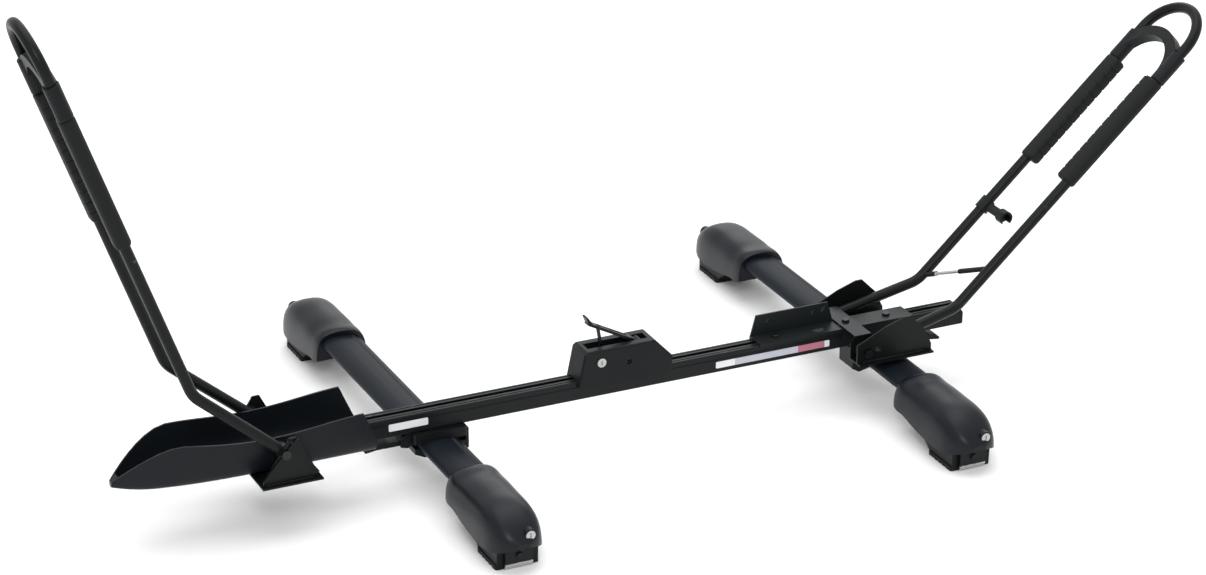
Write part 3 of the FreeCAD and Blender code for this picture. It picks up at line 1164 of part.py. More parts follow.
def foot_base(side):
    """Block under the crossbar, narrowing down to the roof pad."""
    half = BASE_HALF_WIDTH
    outline = [(BASE_INNER, BAR_MIDDLE), (BASE_INNER, BAR_BOTTOM - BASE_STEP),
               (PAD_INNER - BASE_STEP, PAD_HEIGHT + BASE_FOOT_RISE), (PAD_INNER, PAD_HEIGHT),
               (PAD_OUTER, PAD_HEIGHT), (PAD_OUTER + BASE_FOOT_OUT, BAR_BOTTOM - BASE_FOOT_DROP),
               (SHOULDER + BASE_SHOULDER_RUN, BAR_MIDDLE - BASE_SHOULDER_DROP), (SHOULDER, BAR_MIDDLE)]
    face = Part.Face(polygon([(-half, side * u, z) for u, z in outline]))
    block = face.extrude(V(2 * half, 0, 0))
    bore_end = HOOK_FACE - HOOK_BOLT_LENGTH - BOLT_HEAD_HEIGHT
    bolt_bore = rod(V(0, side * bore_end, HOOK_BOLT_Z),
                    V(0, side * HOOK_FACE, HOOK_BOLT_Z), BOLT_HOLE)
    return block.cut(Part.makeCompound([foot_bar_space(side), bolt_bore]))


def roof_pad(side):
    """Rubber pad with ribs across its underside."""
    half = BAR_CHORD / 2 + PAD_SIDE
    low, high = sorted((side * PAD_INNER, side * PAD_OUTER))
    pad = box(-half, half, low, high, 0, PAD_HEIGHT)
    pad = soften(pad, PAD_CORNER, along_z)
    groove = PAD_HEIGHT / 4
    pitch = (high - low) / PAD_RIBS
    places = [low + (i + 0.5) * pitch for i in range(1, PAD_RIBS - 1)]
    grooves = [box(-half - JOIN, half + JOIN, y - groove, y + groove, -JOIN, groove) for y in places]
    return pad.cut(Part.makeCompound(grooves))


def foot_hook(side):
    """Steel hook for the door frame, an upright plate with its toe turned in, and its bolt."""
    half = HOOK_HALF_WIDTH
    outside = HOOK_FACE + HOOK_THICK
    outline = [(HOOK_FACE, HOOK_TOP), (outside, HOOK_TOP), (outside, PAD_HEIGHT),
               (HOOK_FACE - JOIN, HOOK_TOE_LOW), (HOOK_FACE - HOOK_THICK, HOOK_TOE_HIGH),
               (HOOK_FACE, PAD_HEIGHT + JOIN)]
    face = Part.Face(polygon([(-half, side * u, z) for u, z in outline]))
    plate = face.extrude(V(2 * half, 0, 0))
    outward = V(0, side, 0)
    seat = V(0, side * outside, HOOK_BOLT_Z)
    bore = rod(seat - outward * (2 * HOOK_THICK), seat + outward, BOLT_RADIUS)
    head = hexagon(seat, outward, BOLT_HEAD_ACROSS, BOLT_HEAD_HEIGHT)
    bolt = fuse([rod(seat - outward * HOOK_BOLT_LENGTH, seat, BOLT_RADIUS), head])
    return Part.makeCompound([plate.cut(bore), bolt])


# ---------------------------------------------------------------- export
def build():
    """Every sub-part by its node name."""
    parts = {}
    for name, side in (("front", -1), ("rear", 1)):
        parts[f"{name}_crossbar"] = crossbar(side * BAR_SPACING / 2)
        parts[f"{name}_clamp_saddle"] = clamp_saddle(side)
        parts[f"{name}_clamp_jaw"] = clamp_jaw(side)
        parts[f"{name}_clamp_handle"] = clamp_handle(side)
        for place, hand in (("left", -1), ("right", 1)):
            lock = lock_cylinder(lock_centre(hand), V(0, hand, 0), FOOT_LOCK_RADIUS, FOOT_LOCK_DEPTH)
            foot = {"foot_base": foot_base(hand), "foot_cover": foot_cover(hand),
                    "roof_pad": roof_pad(hand), "door_hook": foot_hook(hand), "foot_lock": lock}
            for piece, shape in foot.items():
                shape.translate(V(side * BAR_SPACING / 2, 0, 0))
                parts[f"{name}_{place}_{piece}"] = shape
    parts["clamp_bolts"] = clamp_bolts()
    parts["clamp_pins"] = clamp_pins()
    parts["rail"] = rail()
    parts["rail_end_cap"] = rail_end_cap()
    parts["nose_cradle"] = nose_cradle()
    parts["front_pivot_bracket"] = front_pivot_bracket()
    parts["front_bracket_bolts"] = front_bracket_bolts()
    parts["front_pivot_pins"] = pivot_pins(FRONT_PIVOT_X, FRONT_PIVOT_Z)
    parts["rear_pivot_bracket"] = rear_pivot_bracket()
    parts["rear_pivot_pins"] = pivot_pins(REAR_PIVOT_X, REAR_PIVOT_Z)
    parts["carriage"] = carriage()
    parts["carriage_bolts"] = carriage_bolts()
    parts["latch_block"] = latch_block()
    parts["latch_block_bolt"] = block_bolt()
    parts["latch_hinge_pin"] = latch_hinge_pin()
    parts["latch_lever"] = latch_lever()
    parts["latch_link_pin"] = link_pin()
    parts["latch_link"] = latch_link()
    parts["latch_lock"] = lock_cylinder(BLOCK_LOCK, V(0, -1, 0), LOCK_RADIUS, LOCK_DEPTH)
    for name, arm, side in (("front", FRONT_ARM, -1), ("rear", REAR_ARM, 1)):
        pieces = {"arm_tube": hoop_tube(), "arm_bushes": arm_bushes(),
                  "arm_left_pad": tyre_pad(-side), "arm_right_pad": tyre_pad(side), "arm_yoke": yoke()}
        if name == "rear":
            pieces["stow_clip"] = stow_clip()
            pieces["brace_rod"] = brace_rod()
        for piece, shape in pieces.items():
            shape.Placement = arm_frame(arm, side).multiply(shape.Placement)
            parts[piece if piece in ("stow_clip", "brace_rod") else f"{name}_{piece}"] = shape
    for shape in parts.values():
        shape.translate(V(FRAME_X, 0, 0))
    return parts


os.makedirs("parts", exist_ok=True)
for node, solid in build().items():
    solid.exportStep(f"parts/{node}.step")
    litres = solid.Volume / 1e6
    print(f"{node:28s} solids {len(solid.Solids)} litres {litres:9.5f} valid {solid.isValid()}")
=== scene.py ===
# %% [markdown]
# # A roof carrier for one bicycle, finished in Blender
#
# The carrier stands on two aerofoil crossbars. A long rail lies across them, a boat-shaped
# cradle at its nose takes the front tyre, a sliding carriage at its tail takes the rear one,
# and two folding hoops press rubber pads against the tyres.
#
# The steel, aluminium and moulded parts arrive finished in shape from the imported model, so
# this lesson gives them their surfaces, and makes the few pieces whose look is all in their
# detail: the notched tyre pads, the weld beads, the ridges on the cam handles and the plain
# sticker on the rail.

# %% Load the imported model
import json
import math

import bmesh
import bpy
from mathutils import Matrix, Vector


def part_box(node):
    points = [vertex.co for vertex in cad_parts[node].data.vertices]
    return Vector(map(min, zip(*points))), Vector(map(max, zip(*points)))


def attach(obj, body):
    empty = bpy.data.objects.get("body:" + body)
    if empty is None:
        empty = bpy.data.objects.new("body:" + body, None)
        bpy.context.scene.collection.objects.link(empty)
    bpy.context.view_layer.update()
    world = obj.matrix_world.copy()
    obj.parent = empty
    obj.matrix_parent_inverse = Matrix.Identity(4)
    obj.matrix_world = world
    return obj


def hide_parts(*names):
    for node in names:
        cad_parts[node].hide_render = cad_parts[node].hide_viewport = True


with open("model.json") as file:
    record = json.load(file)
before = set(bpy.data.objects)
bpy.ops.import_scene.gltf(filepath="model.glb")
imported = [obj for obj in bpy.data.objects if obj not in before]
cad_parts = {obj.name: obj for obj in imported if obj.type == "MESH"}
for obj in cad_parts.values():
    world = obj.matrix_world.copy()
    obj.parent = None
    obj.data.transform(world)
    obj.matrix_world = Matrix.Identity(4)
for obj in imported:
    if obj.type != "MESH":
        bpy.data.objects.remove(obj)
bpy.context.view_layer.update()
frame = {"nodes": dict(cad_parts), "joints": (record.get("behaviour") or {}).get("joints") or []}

nodes = frame["nodes"]
joints = {joint["name"]: joint for joint in frame["joints"]}

# %% [markdown]
# ## The camera and the light
#
# The carrier is seen from its near side, a little ahead of the nose, from a long way off, so
# a long lens keeps its parallel lines nearly parallel. Black paint shows its shape only by
# what it reflects, so the lights are big soft panels rather than small bright lamps.

# %% Camera
CAMERA_PLACE = Vector((-2.4075, -5.093, 2.690))
CAMERA_AIM = Vector((0.38859799, 0.82952114, -0.40110632))
CAMERA_ROLL = math.radians(0.06)
LENS = 106.78                # millimetres
SENSOR_WIDTH = 36.0

camera = bpy.data.objects.new("camera", bpy.data.cameras.new("camera"))
camera.data.lens = LENS
camera.data.sensor_width = SENSOR_WIDTH
camera.data.sensor_fit = "HORIZONTAL"
camera.data.clip_end = 100.0
turn = CAMERA_AIM.to_track_quat("-Z", "Y").to_matrix().to_4x4()
roll = Matrix.Rotation(CAMERA_ROLL, 4, "Z")
camera.matrix_world = Matrix.Translation(CAMERA_PLACE) @ turn @ roll
bpy.context.scene.collection.objects.link(camera)
bpy.context.scene.camera = camera
print("lens", LENS, "mm")


# %% Soft panels
def panel(name, place, aim, width, height, power, colour=(1.0, 1.0, 1.0)):
    """A rectangular soft light that looks from place towards aim."""
    light = bpy.data.lights.new(name, "AREA")
    light.shape = "RECTANGLE"
    light.size, light.size_y = width, height
    light.energy = power
    light.color = colour
    holder = bpy.data.objects.new(name, light)
    look = (Vector(aim) - Vector(place)).to_track_quat("-Z", "Y").to_matrix().to_4x4()
    holder.matrix_world = Matrix.Translation(Vector(place)) @ look
    bpy.context.scene.collection.objects.link(holder)
    return holder


MIDDLE = (0.0, 0.0, 0.3)
panel("overhead", (0.0, 0.6, 4.4), MIDDLE, 5.0, 4.0, 105.0)
panel("near_side", (-2.2, -4.2, 4.0), MIDDLE, 1.6, 1.2, 70.0)
panel("far_edge", (2.5, 3.8, 2.2), MIDDLE, 3.0, 1.6, 22.0, (0.93, 0.97, 1.0))

world = bpy.data.worlds.new("studio")
world.use_nodes = True
world.node_tree.nodes["Background"].inputs["Color"].default_value = (1.0, 1.0, 1.0, 1.0)
world.node_tree.nodes["Background"].inputs["Strength"].default_value = 0.95
bpy.context.scene.world = world
bpy.context.scene.view_settings.view_transform = "Standard"

# %% [markdown]
# ## Arithmetic with shader sockets
#
# A procedural finish is arithmetic on noise and on places. Written out node by node it is
# hard to read, so this small class lets a socket be added, multiplied or raised to a power
# like a number, and one method of the finish makes any other node.


# %% A socket that behaves like a number
class Value:
    def __init__(self, tree, socket):
        self.tree = tree
        self.socket = socket

    def _math(self, operation, *values):
        inputs = dict(enumerate(values))
        return make_node(self.tree, "ShaderNodeMath", {"operation": operation}, inputs)

    def __add__(self, other):
        return self._math("ADD", self, other)

    def __sub__(self, other):
        return self._math("SUBTRACT", self, other)

    def __rsub__(self, other):
        return self._math("SUBTRACT", other, self)

    def __mul__(self, other):
        return self._math("MULTIPLY", self, other)

    def __truediv__(self, other):
        return self._math("DIVIDE", self, other)

    def __rtruediv__(self, other):
        return self._math("DIVIDE", other, self)

    def __pow__(self, other):
        return self._math("POWER", self, other)

    def __gt__(self, other):
        return self._math("GREATER_THAN", self, other)

    __radd__ = __add__
    __rmul__ = __mul__

    def absolute(self):
        return self._math("ABSOLUTE", self)

    def sine(self):
        return self._math("SINE", self)

    def clamped(self):
        return make_node(self.tree, "ShaderNodeClamp", {}, {0: self})

    def between(self, low, high):
        """0 below low, 1 above high and a smooth step in between."""
        return make_node(self.tree, "ShaderNodeMapRange", {"interpolation_type": "SMOOTHSTEP"},
                         {0: self, 1: low, 2: high, 3: 0.0, 4: 1.0})

    def band(self, start, end, edge):
        """1 from start to end and 0 outside, each edge softened over a short way."""
        return self.between(start, start + edge) * (1.0 - self.between(end, end + edge))


def make_node(tree, kind, settings, inputs, output=0):
    """Any node: its settings first, then its sockets by number or name; gives one output."""
    made = tree.nodes.new(kind)
    for name, setting in settings.items():
        setattr(made, name, setting)
    for name, value in inputs.items():
        if isinstance(value, Value):
            tree.links.new(value.socket, made.inputs[name])
        else:
            made.inputs[name].default_value = value
    return Value(tree, made.outputs[output])


# %% A finish: one material and its main shader
class Finish:
    def __init__(self, name, roughness, metallic=0.0, mirror=0.16):
        self.material = bpy.data.materials.new(name)
        self.material.use_nodes = True
        self.tree = self.material.node_tree
        self.shader = self.tree.nodes["Principled BSDF"]
        self.shader.inputs["Roughness"].default_value = roughness
        self.shader.inputs["Metallic"].default_value = metallic
        self.shader.inputs["Specular IOR Level"].default_value = mirror
        self.place = self.node("ShaderNodeTexCoord", {}, {}, "Object")

    def node(self, kind, settings, inputs, output=0):
        return make_node(self.tree, kind, settings, inputs, output)

    def set(self, name, value):
        if isinstance(value, Value):
            self.tree.links.new(value.socket, self.shader.inputs[name])
        else:
            self.shader.inputs[name].default_value = value

    def stretched(self, scale):
        return self.node("ShaderNodeMapping", {}, {"Vector": self.place, "Scale": scale})

    def noise(self, scale, detail=2.0, place=None):
        inputs = {"Vector": place or self.place, "Scale": scale, "Detail": detail}
        return self.node("ShaderNodeTexNoise", {}, inputs, "Fac")

    def blend(self, factor, low, high):
        """A colour between low and high."""
        return self.node("ShaderNodeMix", {"data_type": "RGBA"}, {0: factor, 6: low, 7: high}, 2)

    def bump(self, height, strength, distance):
        inputs = {"Height": height, "Strength": strength, "Distance": distance}
        self.set("Normal", self.node("ShaderNodeBump", {}, inputs))

    def upward(self):
        """How much the surface looks at the sky, from 0 to 1."""
        normal = self.node("ShaderNodeNewGeometry", {}, {}, "Normal")
        return self.node("ShaderNodeSeparateXYZ", {}, {0: normal}, 2).clamped()

    def along(self, axis):
        return self.node("ShaderNodeSeparateXYZ", {}, {0: self.place}, "XYZ".index(axis))


def rgb(red, green, blue):
    return (red, green, blue, 1.0)


def dress(material, *names):
    """Give CAD nodes a material, one slot for each."""
    for name in names:
        mesh = nodes[name].data
        mesh.materials.clear()
        mesh.materials.append(material)
    return len(names)


# %% [markdown]
# ## Black powder coat
#
# The hoops, brackets and carriage are welded steel under baked powder. Powder melts into a
# skin with a fine orange-peel, so a small noise drives the bump, a broader one varies the
# gloss, and a sharp-edged one leaves a few pale scuffs where tyres and straps have rubbed.

# %% Powder coat
def powder_coat(name, low, high, roughness):
    finish = Finish(name, roughness)
    peel = finish.noise(520.0, 2.0)
    patches = finish.noise(9.0, 3.0)
    scuffs = finish.noise(46.0, 5.0).between(0.66, 0.72) * finish.noise(5.0).between(0.48, 0.62)
    coat = finish.blend(patches, low, high)
    finish.set("Base Color", finish.blend(scuffs * 0.35, coat, rgb(0.11, 0.115, 0.12)))
    finish.set("Roughness", roughness - 0.06 + patches * 0.12 + scuffs * 0.12)
    finish.bump(peel + patches * 0.2, 0.30, 0.0006)
    return finish.material


steel_black = powder_coat("black_powder_coat", rgb(0.0030, 0.0036, 0.0038),
                          rgb(0.0065, 0.0075, 0.0078), 0.34)
carriage_black = powder_coat("carriage_powder_coat", rgb(0.0060, 0.0082, 0.0084),
                             rgb(0.0115, 0.0150, 0.0148), 0.38)
count = dress(steel_black, "front_arm_tube", "rear_arm_tube", "front_pivot_bracket",
              "rear_pivot_bracket", "latch_lever")
count += dress(carriage_black, "carriage")
print(count, "powder-coated nodes")

# %% [markdown]
# ## Coated aluminium extrusions
#
# An extrusion is pushed through a die, and the die leaves hair-fine lines along its whole
# length. Noise squeezed across the bar and stretched along it gives those lines. A lighter
# grey strip on the sky-facing top near the bars' trailing edge is a painted highlight.

# %% Crossbars
BAR_PAINTED_HIGHLIGHT = 0.017             # where the painted highlight strip starts, behind the bar's middle
BAR_PAINTED_HIGHLIGHT_WIDTH = 0.0075
BAR_PAINTED_HIGHLIGHT_EDGE = 0.0012


def bar_coat(name, middle):
    finish = Finish(name, 0.42, mirror=0.12)
    lines = finish.noise(1.0, 3.0, finish.stretched((900.0, 3.0, 900.0)))
    patches = finish.noise(7.0, 3.0)
    across = finish.along("X") - middle
    # painted highlight: a lighter strip behind the bar's middle, kept to faces that look at the
    # sky; it is also made rougher and raised in the bump
    strip = across.band(BAR_PAINTED_HIGHLIGHT, BAR_PAINTED_HIGHLIGHT + BAR_PAINTED_HIGHLIGHT_WIDTH, BAR_PAINTED_HIGHLIGHT_EDGE)
    strip = strip * finish.upward().between(0.2, 0.4)
    coat = finish.blend(patches, rgb(0.0040, 0.0062, 0.0105), rgb(0.0080, 0.0110, 0.0165))
    # the lighter grey mixed in over the strip is the painted highlight
    finish.set("Base Color", finish.blend(strip, coat, rgb(0.020, 0.024, 0.026)))
    finish.set("Roughness", 0.38 + lines * 0.08 + patches * 0.06 + strip * 0.20)
    finish.bump(lines + strip * 1.5, 0.22, 0.0005)
    return finish.material


def middle_x(name):
    low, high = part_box(name)
    return (low[0] + high[0]) / 2


for bar in ("front_crossbar", "rear_crossbar"):
    dress(bar_coat(bar + "_coat", middle_x(bar)), bar)
    print(bar, "middle at", round(middle_x(bar), 4))


# %% Rail
def rail_coat(name):
    finish = Finish(name, 0.34)
    lines = finish.noise(1.0, 3.0, finish.stretched((3.0, 900.0, 900.0)))
    patches = finish.noise(8.0, 3.0)
    rubbed = finish.noise(60.0, 4.0).between(0.60, 0.70) * finish.upward()
    coat = finish.blend(patches, rgb(0.0045, 0.0058, 0.0062), rgb(0.0090, 0.0110, 0.0115))
    finish.set("Base Color", finish.blend(rubbed * 0.5, coat, rgb(0.08, 0.085, 0.085)))
    finish.set("Roughness", 0.30 + lines * 0.10 + patches * 0.05)
    finish.bump(lines, 0.22, 0.0005)
    return finish.material


print(dress(rail_coat("rail_coat"), "rail"), "rail")

# %% [markdown]
# ## Moulded plastics
#
# The cradle, block, clamps and feet are glass-filled nylon from a spark-eroded mould: tiny
# rounded pits, soft sheen, and a little pale dust on what faces the sky. The feet's covers
# come from a smoother mould and carry a silkier skin with a faint orange-peel.

# %% Grained plastic
def grained_plastic(name, low, high, roughness, grain=850.0):
    finish = Finish(name, roughness)
    pits = finish.node("ShaderNodeTexVoronoi", {"feature": "SMOOTH_F1"},
                       {"Vector": finish.place, "Scale": grain}, "Distance")
    flow = finish.noise(6.0, 3.0)
    dust = finish.noise(38.0, 5.0).between(0.50, 0.78) * finish.upward() ** 2.0
    body = finish.blend(flow, low, high)
    finish.set("Base Color", finish.blend(dust * 0.16, body, rgb(0.17, 0.175, 0.17)))
    finish.set("Roughness", roughness - 0.05 + flow * 0.10 + dust * 0.12)
    finish.bump(pits + flow * 0.3, 0.35, 0.0006)
    return finish.material


cradle_black = grained_plastic("cradle_plastic", rgb(0.0042, 0.0056, 0.0078),
                               rgb(0.0082, 0.0104, 0.0130), 0.34)
body_black = grained_plastic("moulded_black", rgb(0.0035, 0.0042, 0.0050),
                             rgb(0.0070, 0.0082, 0.0092), 0.42)
count = dress(cradle_black, "nose_cradle")
count += dress(body_black, "rail_end_cap", "latch_block", "stow_clip", "front_arm_yoke",
               "rear_arm_yoke")
for end in ("front", "rear"):
    count += dress(body_black, end + "_clamp_saddle", end + "_clamp_jaw", end + "_clamp_handle")
    count += dress(body_black, end + "_left_foot_base", end + "_right_foot_base")
print(count, "grained mouldings")


# %% Polished covers
def polished_plastic(name):
    finish = Finish(name, 0.34, mirror=0.22)
    peel = finish.noise(160.0, 1.0)
    flow = finish.noise(10.0, 3.0)
    hairs = finish.noise(1.0, 4.0, finish.stretched((300.0, 22.0, 300.0))).between(0.60, 0.74)
    skin = finish.blend(flow, rgb(0.0024, 0.0034, 0.0062), rgb(0.0050, 0.0066, 0.0104))
    finish.set("Base Color", skin)
    finish.set("Roughness", 0.29 + flow * 0.10 + hairs * 0.12)
    finish.bump(peel + hairs * 0.2, 0.10, 0.0006)
    return finish.material


cover_black = polished_plastic("cover_plastic")
feet = [end + "_" + side for end in ("front", "rear") for side in ("left", "right")]
print(dress(cover_black, *[foot + "_foot_cover" for foot in feet]), "foot covers")


# %% [markdown]
# ## Rubber, zinc and bright metal
#
# Rubber is nearly matt and a little paler where it is rubbed. The bolts, pins and link have
# a black zinc plating with a cloudy grain, and the key locks are turned bright metal. The
# door hooks are black too, but their toes are left bare where they grip.

# %% Rubber
def rubber(name):
    finish = Finish(name, 0.62)
    grain = finish.noise(700.0, 3.0)
    bloom = finish.noise(24.0, 4.0)
    skin = finish.blend(bloom, rgb(0.0042, 0.0052, 0.0048), rgb(0.0100, 0.0118, 0.0108))
    finish.set("Base Color", skin)
    finish.set("Roughness", 0.50 + bloom * 0.18)
    finish.bump(grain, 0.30, 0.0006)
    return finish.material


pad_rubber = rubber("pad_rubber")
print(dress(pad_rubber, *[foot + "_roof_pad" for foot in feet]), "roof pads")


# %% Zinc, bright metal and plain bearings
def plated(name, low, high, roughness):
    finish = Finish(name, roughness, 1.0)
    cloud = finish.noise(140.0, 4.0)
    marks = finish.noise(1.0, 3.0, finish.stretched((1200.0, 60.0, 1200.0)))
    finish.set("Base Color", finish.blend(cloud, low, high))
    finish.set("Roughness", roughness - 0.06 + cloud * 0.14)
    finish.bump(marks + cloud, 0.10, 0.0004)
    return finish.material


zinc = plated("black_zinc", rgb(0.022, 0.024, 0.026), rgb(0.050, 0.052, 0.052), 0.38)
bright = plated("bright_metal", rgb(0.34, 0.34, 0.34), rgb(0.52, 0.52, 0.50), 0.26)
bearing = grained_plastic("bearing_plastic", rgb(0.10, 0.105, 0.11),
                          rgb(0.16, 0.165, 0.17), 0.50)
count = dress(zinc, "clamp_bolts", "clamp_pins", "front_bracket_bolts", "front_pivot_pins",
              "rear_pivot_pins", "carriage_bolts", "latch_block_bolt", "latch_hinge_pin",
              "latch_link_pin", "latch_link")
count += dress(bright, "latch_lock", *[foot + "_foot_lock" for foot in feet])
count += dress(bearing, "front_arm_bushes", "rear_arm_bushes")
print(count, "metal nodes and bearings")


# %% Door hooks: black above, bare at the toe
TOE_TOP = 0.011


def hook_finish(name):
    finish = Finish(name, 0.36)
    cloud = finish.noise(120.0, 4.0)
    height = finish.along("Z") + cloud * 0.003
    bare = 1.0 - height.between(TOE_TOP, TOE_TOP + 0.0015)
    finish.set("Base Color", finish.blend(bare, rgb(0.010, 0.011, 0.012), rgb(0.50, 0.51, 0.50)))
    finish.set("Metallic", bare)
    finish.set("Roughness", 0.32 + cloud * 0.14)
    finish.bump(cloud, 0.15, 0.0004)
    return finish.material


print(dress(hook_finish("hook_finish"), *[foot + "_door_hook" for foot in feet]), "door hooks")


# %% Brace rod: bright in the middle, black sleeves at its ends
def rod_finish(name, middle, half):
    finish = Finish(name, 0.35)
    cloud = finish.noise(90.0, 3.0)
    bare = 1.0 - (finish.along("Y") - middle).absolute().between(half, half + 0.001)
    finish.set("Base Color", finish.blend(bare, rgb(0.012, 0.013, 0.014), rgb(0.55, 0.56, 0.56)))
    finish.set("Metallic", bare)
    finish.set("Roughness", 0.34 + cloud * 0.10)
    finish.bump(cloud, 0.15, 0.0004)
    return finish.material


ROD_BARE_HALF = 0.0215       # half the bare stretch, across the legs
ROD_BARE_MIDDLE = 0.0426     # from the rod's far end to the middle of the bare stretch
low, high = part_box("brace_rod")
middle_y = high[1] - ROD_BARE_MIDDLE
print(dress(rod_finish("rod_finish", middle_y, ROD_BARE_HALF), "brace_rod"), "brace rod")

# %% [markdown]
# ## The arms' own axes
#
# Each hoop leans, and its pads, welds and yoke are easiest to make upright and then lay on
# the leg. The pivots come from the record's joints; from there a short leg runs up to the
# knee and the long leg leans away from it.

# %% Where the legs run
LOWER_LEG = 0.1897
KNEE_BEND = math.radians(29.85)
FRONT_LEAN = math.radians(70.39)
REAR_LEAN = math.radians(42.82)
LEG_HALF_SPACING = 0.0664


def arm_axes(joint_name, lean, side):
    """Matrix whose X runs up the long legs, whose Y crosses them and whose Z faces the tyre."""
    pivot = Vector(joints[joint_name]["pos_m"])
    low_lean = lean - KNEE_BEND
    knee = pivot + LOWER_LEG * Vector((side * math.cos(low_lean), 0.0, math.sin(low_lean)))
    up = Vector((side * math.cos(lean), 0.0, math.sin(lean)))
    facing = Vector((-side * up.z, 0.0, side * up.x))
    across = facing.cross(up)
    axes = Matrix((up, across, facing)).transposed().to_4x4()
    return Matrix.Translation(knee) @ axes


arms = {"front": arm_axes("front_arm_fold", FRONT_LEAN, -1),
        "rear": arm_axes("rear_arm_fold", REAR_LEAN, 1)}
for end, axes in arms.items():
    print(end, "knee at", [round(value, 4) for value in axes.translation])

# %% [markdown]
# ## Notched tyre pads
#
# Each pad is a rubber sleeve round a leg with a row of soft blocks that reach in to the
# tyre. The shape follows one rule: round behind the leg, nearly square in front of it, and
# the front pulled back at every notch. Geometry Nodes state the rule once, on a cylinder's
# own points, with the sizes as named inputs, and the same tree makes all four pads.


# %% Small helpers for the trees
def new_tree(name, inputs):
    """A Geometry Nodes tree with named number inputs; gives the tree and the input node."""
    tree = bpy.data.node_groups.new(name, "GeometryNodeTree")
    tree.interface.new_socket("Geometry", in_out="INPUT", socket_type="NodeSocketGeometry")
    for label, value in inputs.items():
        kind = "NodeSocketInt" if isinstance(value, int) else "NodeSocketFloat"
        socket = tree.interface.new_socket(label, in_out="INPUT", socket_type=kind)
        socket.default_value = value
    tree.interface.new_socket("Geometry", in_out="OUTPUT", socket_type="NodeSocketGeometry")
    return tree, tree.nodes.new("NodeGroupInput")


def finish_tree(tree, shape, material):
    """Every tree ends in Realize Instances and Set Material."""
    real = make_node(tree, "GeometryNodeRealizeInstances", {}, {0: shape})
    dressed = make_node(tree, "GeometryNodeSetMaterial", {}, {0: real, "Material": material})
    out = tree.nodes.new("NodeGroupOutput")
    tree.links.new(dressed.socket, out.inputs[0])


def grow(name, tree, sizes, place):
    """Run a tree with its named sizes, freeze the result as a mesh and lay it in place."""
    seed = bpy.data.objects.new(name + "_seed", bpy.data.meshes.new(name + "_seed"))
    bpy.context.scene.collection.objects.link(seed)
    modifier = seed.modifiers.new("grow", "NODES")
    modifier.node_group = tree
    sockets = [item for item in tree.interface.items_tree if item.in_out == "INPUT"]
    labels = {item.name: item.identifier for item in sockets}
    for label, value in sizes.items():
        modifier[labels[label]] = value
    bpy.context.view_layer.update()
    evaluated = seed.evaluated_get(bpy.context.evaluated_depsgraph_get())
    mesh = bpy.data.meshes.new_from_object(evaluated)
    seed.modifiers.remove(modifier)
    bpy.data.objects.remove(seed)
    mesh.name = name
    mesh.transform(place)
    piece = bpy.data.objects.new(name, mesh)
    bpy.context.scene.collection.objects.link(piece)
    return piece


# %% The pad's rule as a tree
PAD_START = 0.292
PAD_LENGTH = 0.235
PAD_REACH = 0.0255
PAD_SLEEVE = 0.0136
PAD_NOTCHED = 0.0232         # reach at the bottom of a notch
PAD_PITCH = 0.0195
PAD_AROUND = 48
NOTCH_WALL = (0.06, 0.30)    # where along the wave a block rises out of a notch
END_SHRINK = 0.90            # how far the sleeve draws in at its ends
END_ROUND = 0.004            # over what length it does so
PAD_ROWS_A_PITCH = 14


def pad_tree(material):
    sizes = {"Length": PAD_LENGTH, "Reach": PAD_REACH, "Notched Reach": PAD_NOTCHED,
             "Sleeve": PAD_SLEEVE, "Pitch": PAD_PITCH, "Rows": 100}
    tree, given = new_tree("tyre_pad", sizes)
    value = {name: Value(tree, given.outputs[name]) for name in sizes}
    tube = make_node(tree, "GeometryNodeMeshCylinder", {"fill_type": "NGON"},
                     {"Vertices": PAD_AROUND, "Side Segments": value["Rows"], "Radius": 1.0,
                      "Depth": value["Length"]})
    where = make_node(tree, "GeometryNodeInputPosition", {}, {})
    x, y, z = (make_node(tree, "ShaderNodeSeparateXYZ", {}, {0: where}, i) for i in range(3))
    # teeth along the length: 1 on a block and 0 at the bottom of a notch
    wave = (z * math.pi / value["Pitch"]).sine().absolute()
    tooth = wave.between(*NOTCH_WALL)
    # the ends of the sleeve are rounded off
    from_end = value["Length"] * 0.5 - z.absolute()
    ends = END_SHRINK + from_end.between(0.0, END_ROUND) * (1.0 - END_SHRINK)
    forward = x > 0.0
    reach = value["Notched Reach"] + (value["Reach"] - value["Notched Reach"]) * tooth
    half = value["Sleeve"] + (reach - value["Sleeve"]) * forward
    sharpness = 2.0 + forward * 2.2
    term_x = (x.absolute() / half) ** sharpness
    term_y = (y.absolute() / value["Sleeve"]) ** sharpness
    radius = (term_x + term_y) ** (-1.0 / sharpness) * ends
    moved = make_node(tree, "ShaderNodeCombineXYZ", {}, {0: x * radius, 1: y * radius, 2: z})
    shaped = make_node(tree, "GeometryNodeSetPosition", {}, {0: tube, "Position": moved})
    smooth = make_node(tree, "GeometryNodeSetShadeSmooth", {}, {0: shaped})
    finish_tree(tree, smooth, material)
    return tree


pads = pad_tree(pad_rubber)
rows = round(PAD_LENGTH / PAD_PITCH * PAD_ROWS_A_PITCH)
print("pad tree with", len(pads.nodes), "nodes,", rows, "rows")

# %% Four pads, one tree
for end, axes in arms.items():
    for sign, across in (("left", -1), ("right", 1)):
        # seen from the hoop's own axes the front arm's left leg is on its +Y side
        leg = across if end == "rear" else -across
        # the tree's Z runs up the leg and its X reaches in to the tyre
        lay = Matrix(((0, 0, 1, PAD_START + PAD_LENGTH / 2), (-leg, 0, 0, leg * LEG_HALF_SPACING),
                      (0, -leg, 0, 0), (0, 0, 0, 1)))
        name = end + "_tyre_pad_" + sign
        pad = grow(name, pads, {"Rows": rows}, axes @ lay)
        node = end + "_arm_" + sign + "_pad"
        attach(pad, end + "_arm")
        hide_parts(node)
        print(name, len(pad.data.polygons), "faces")

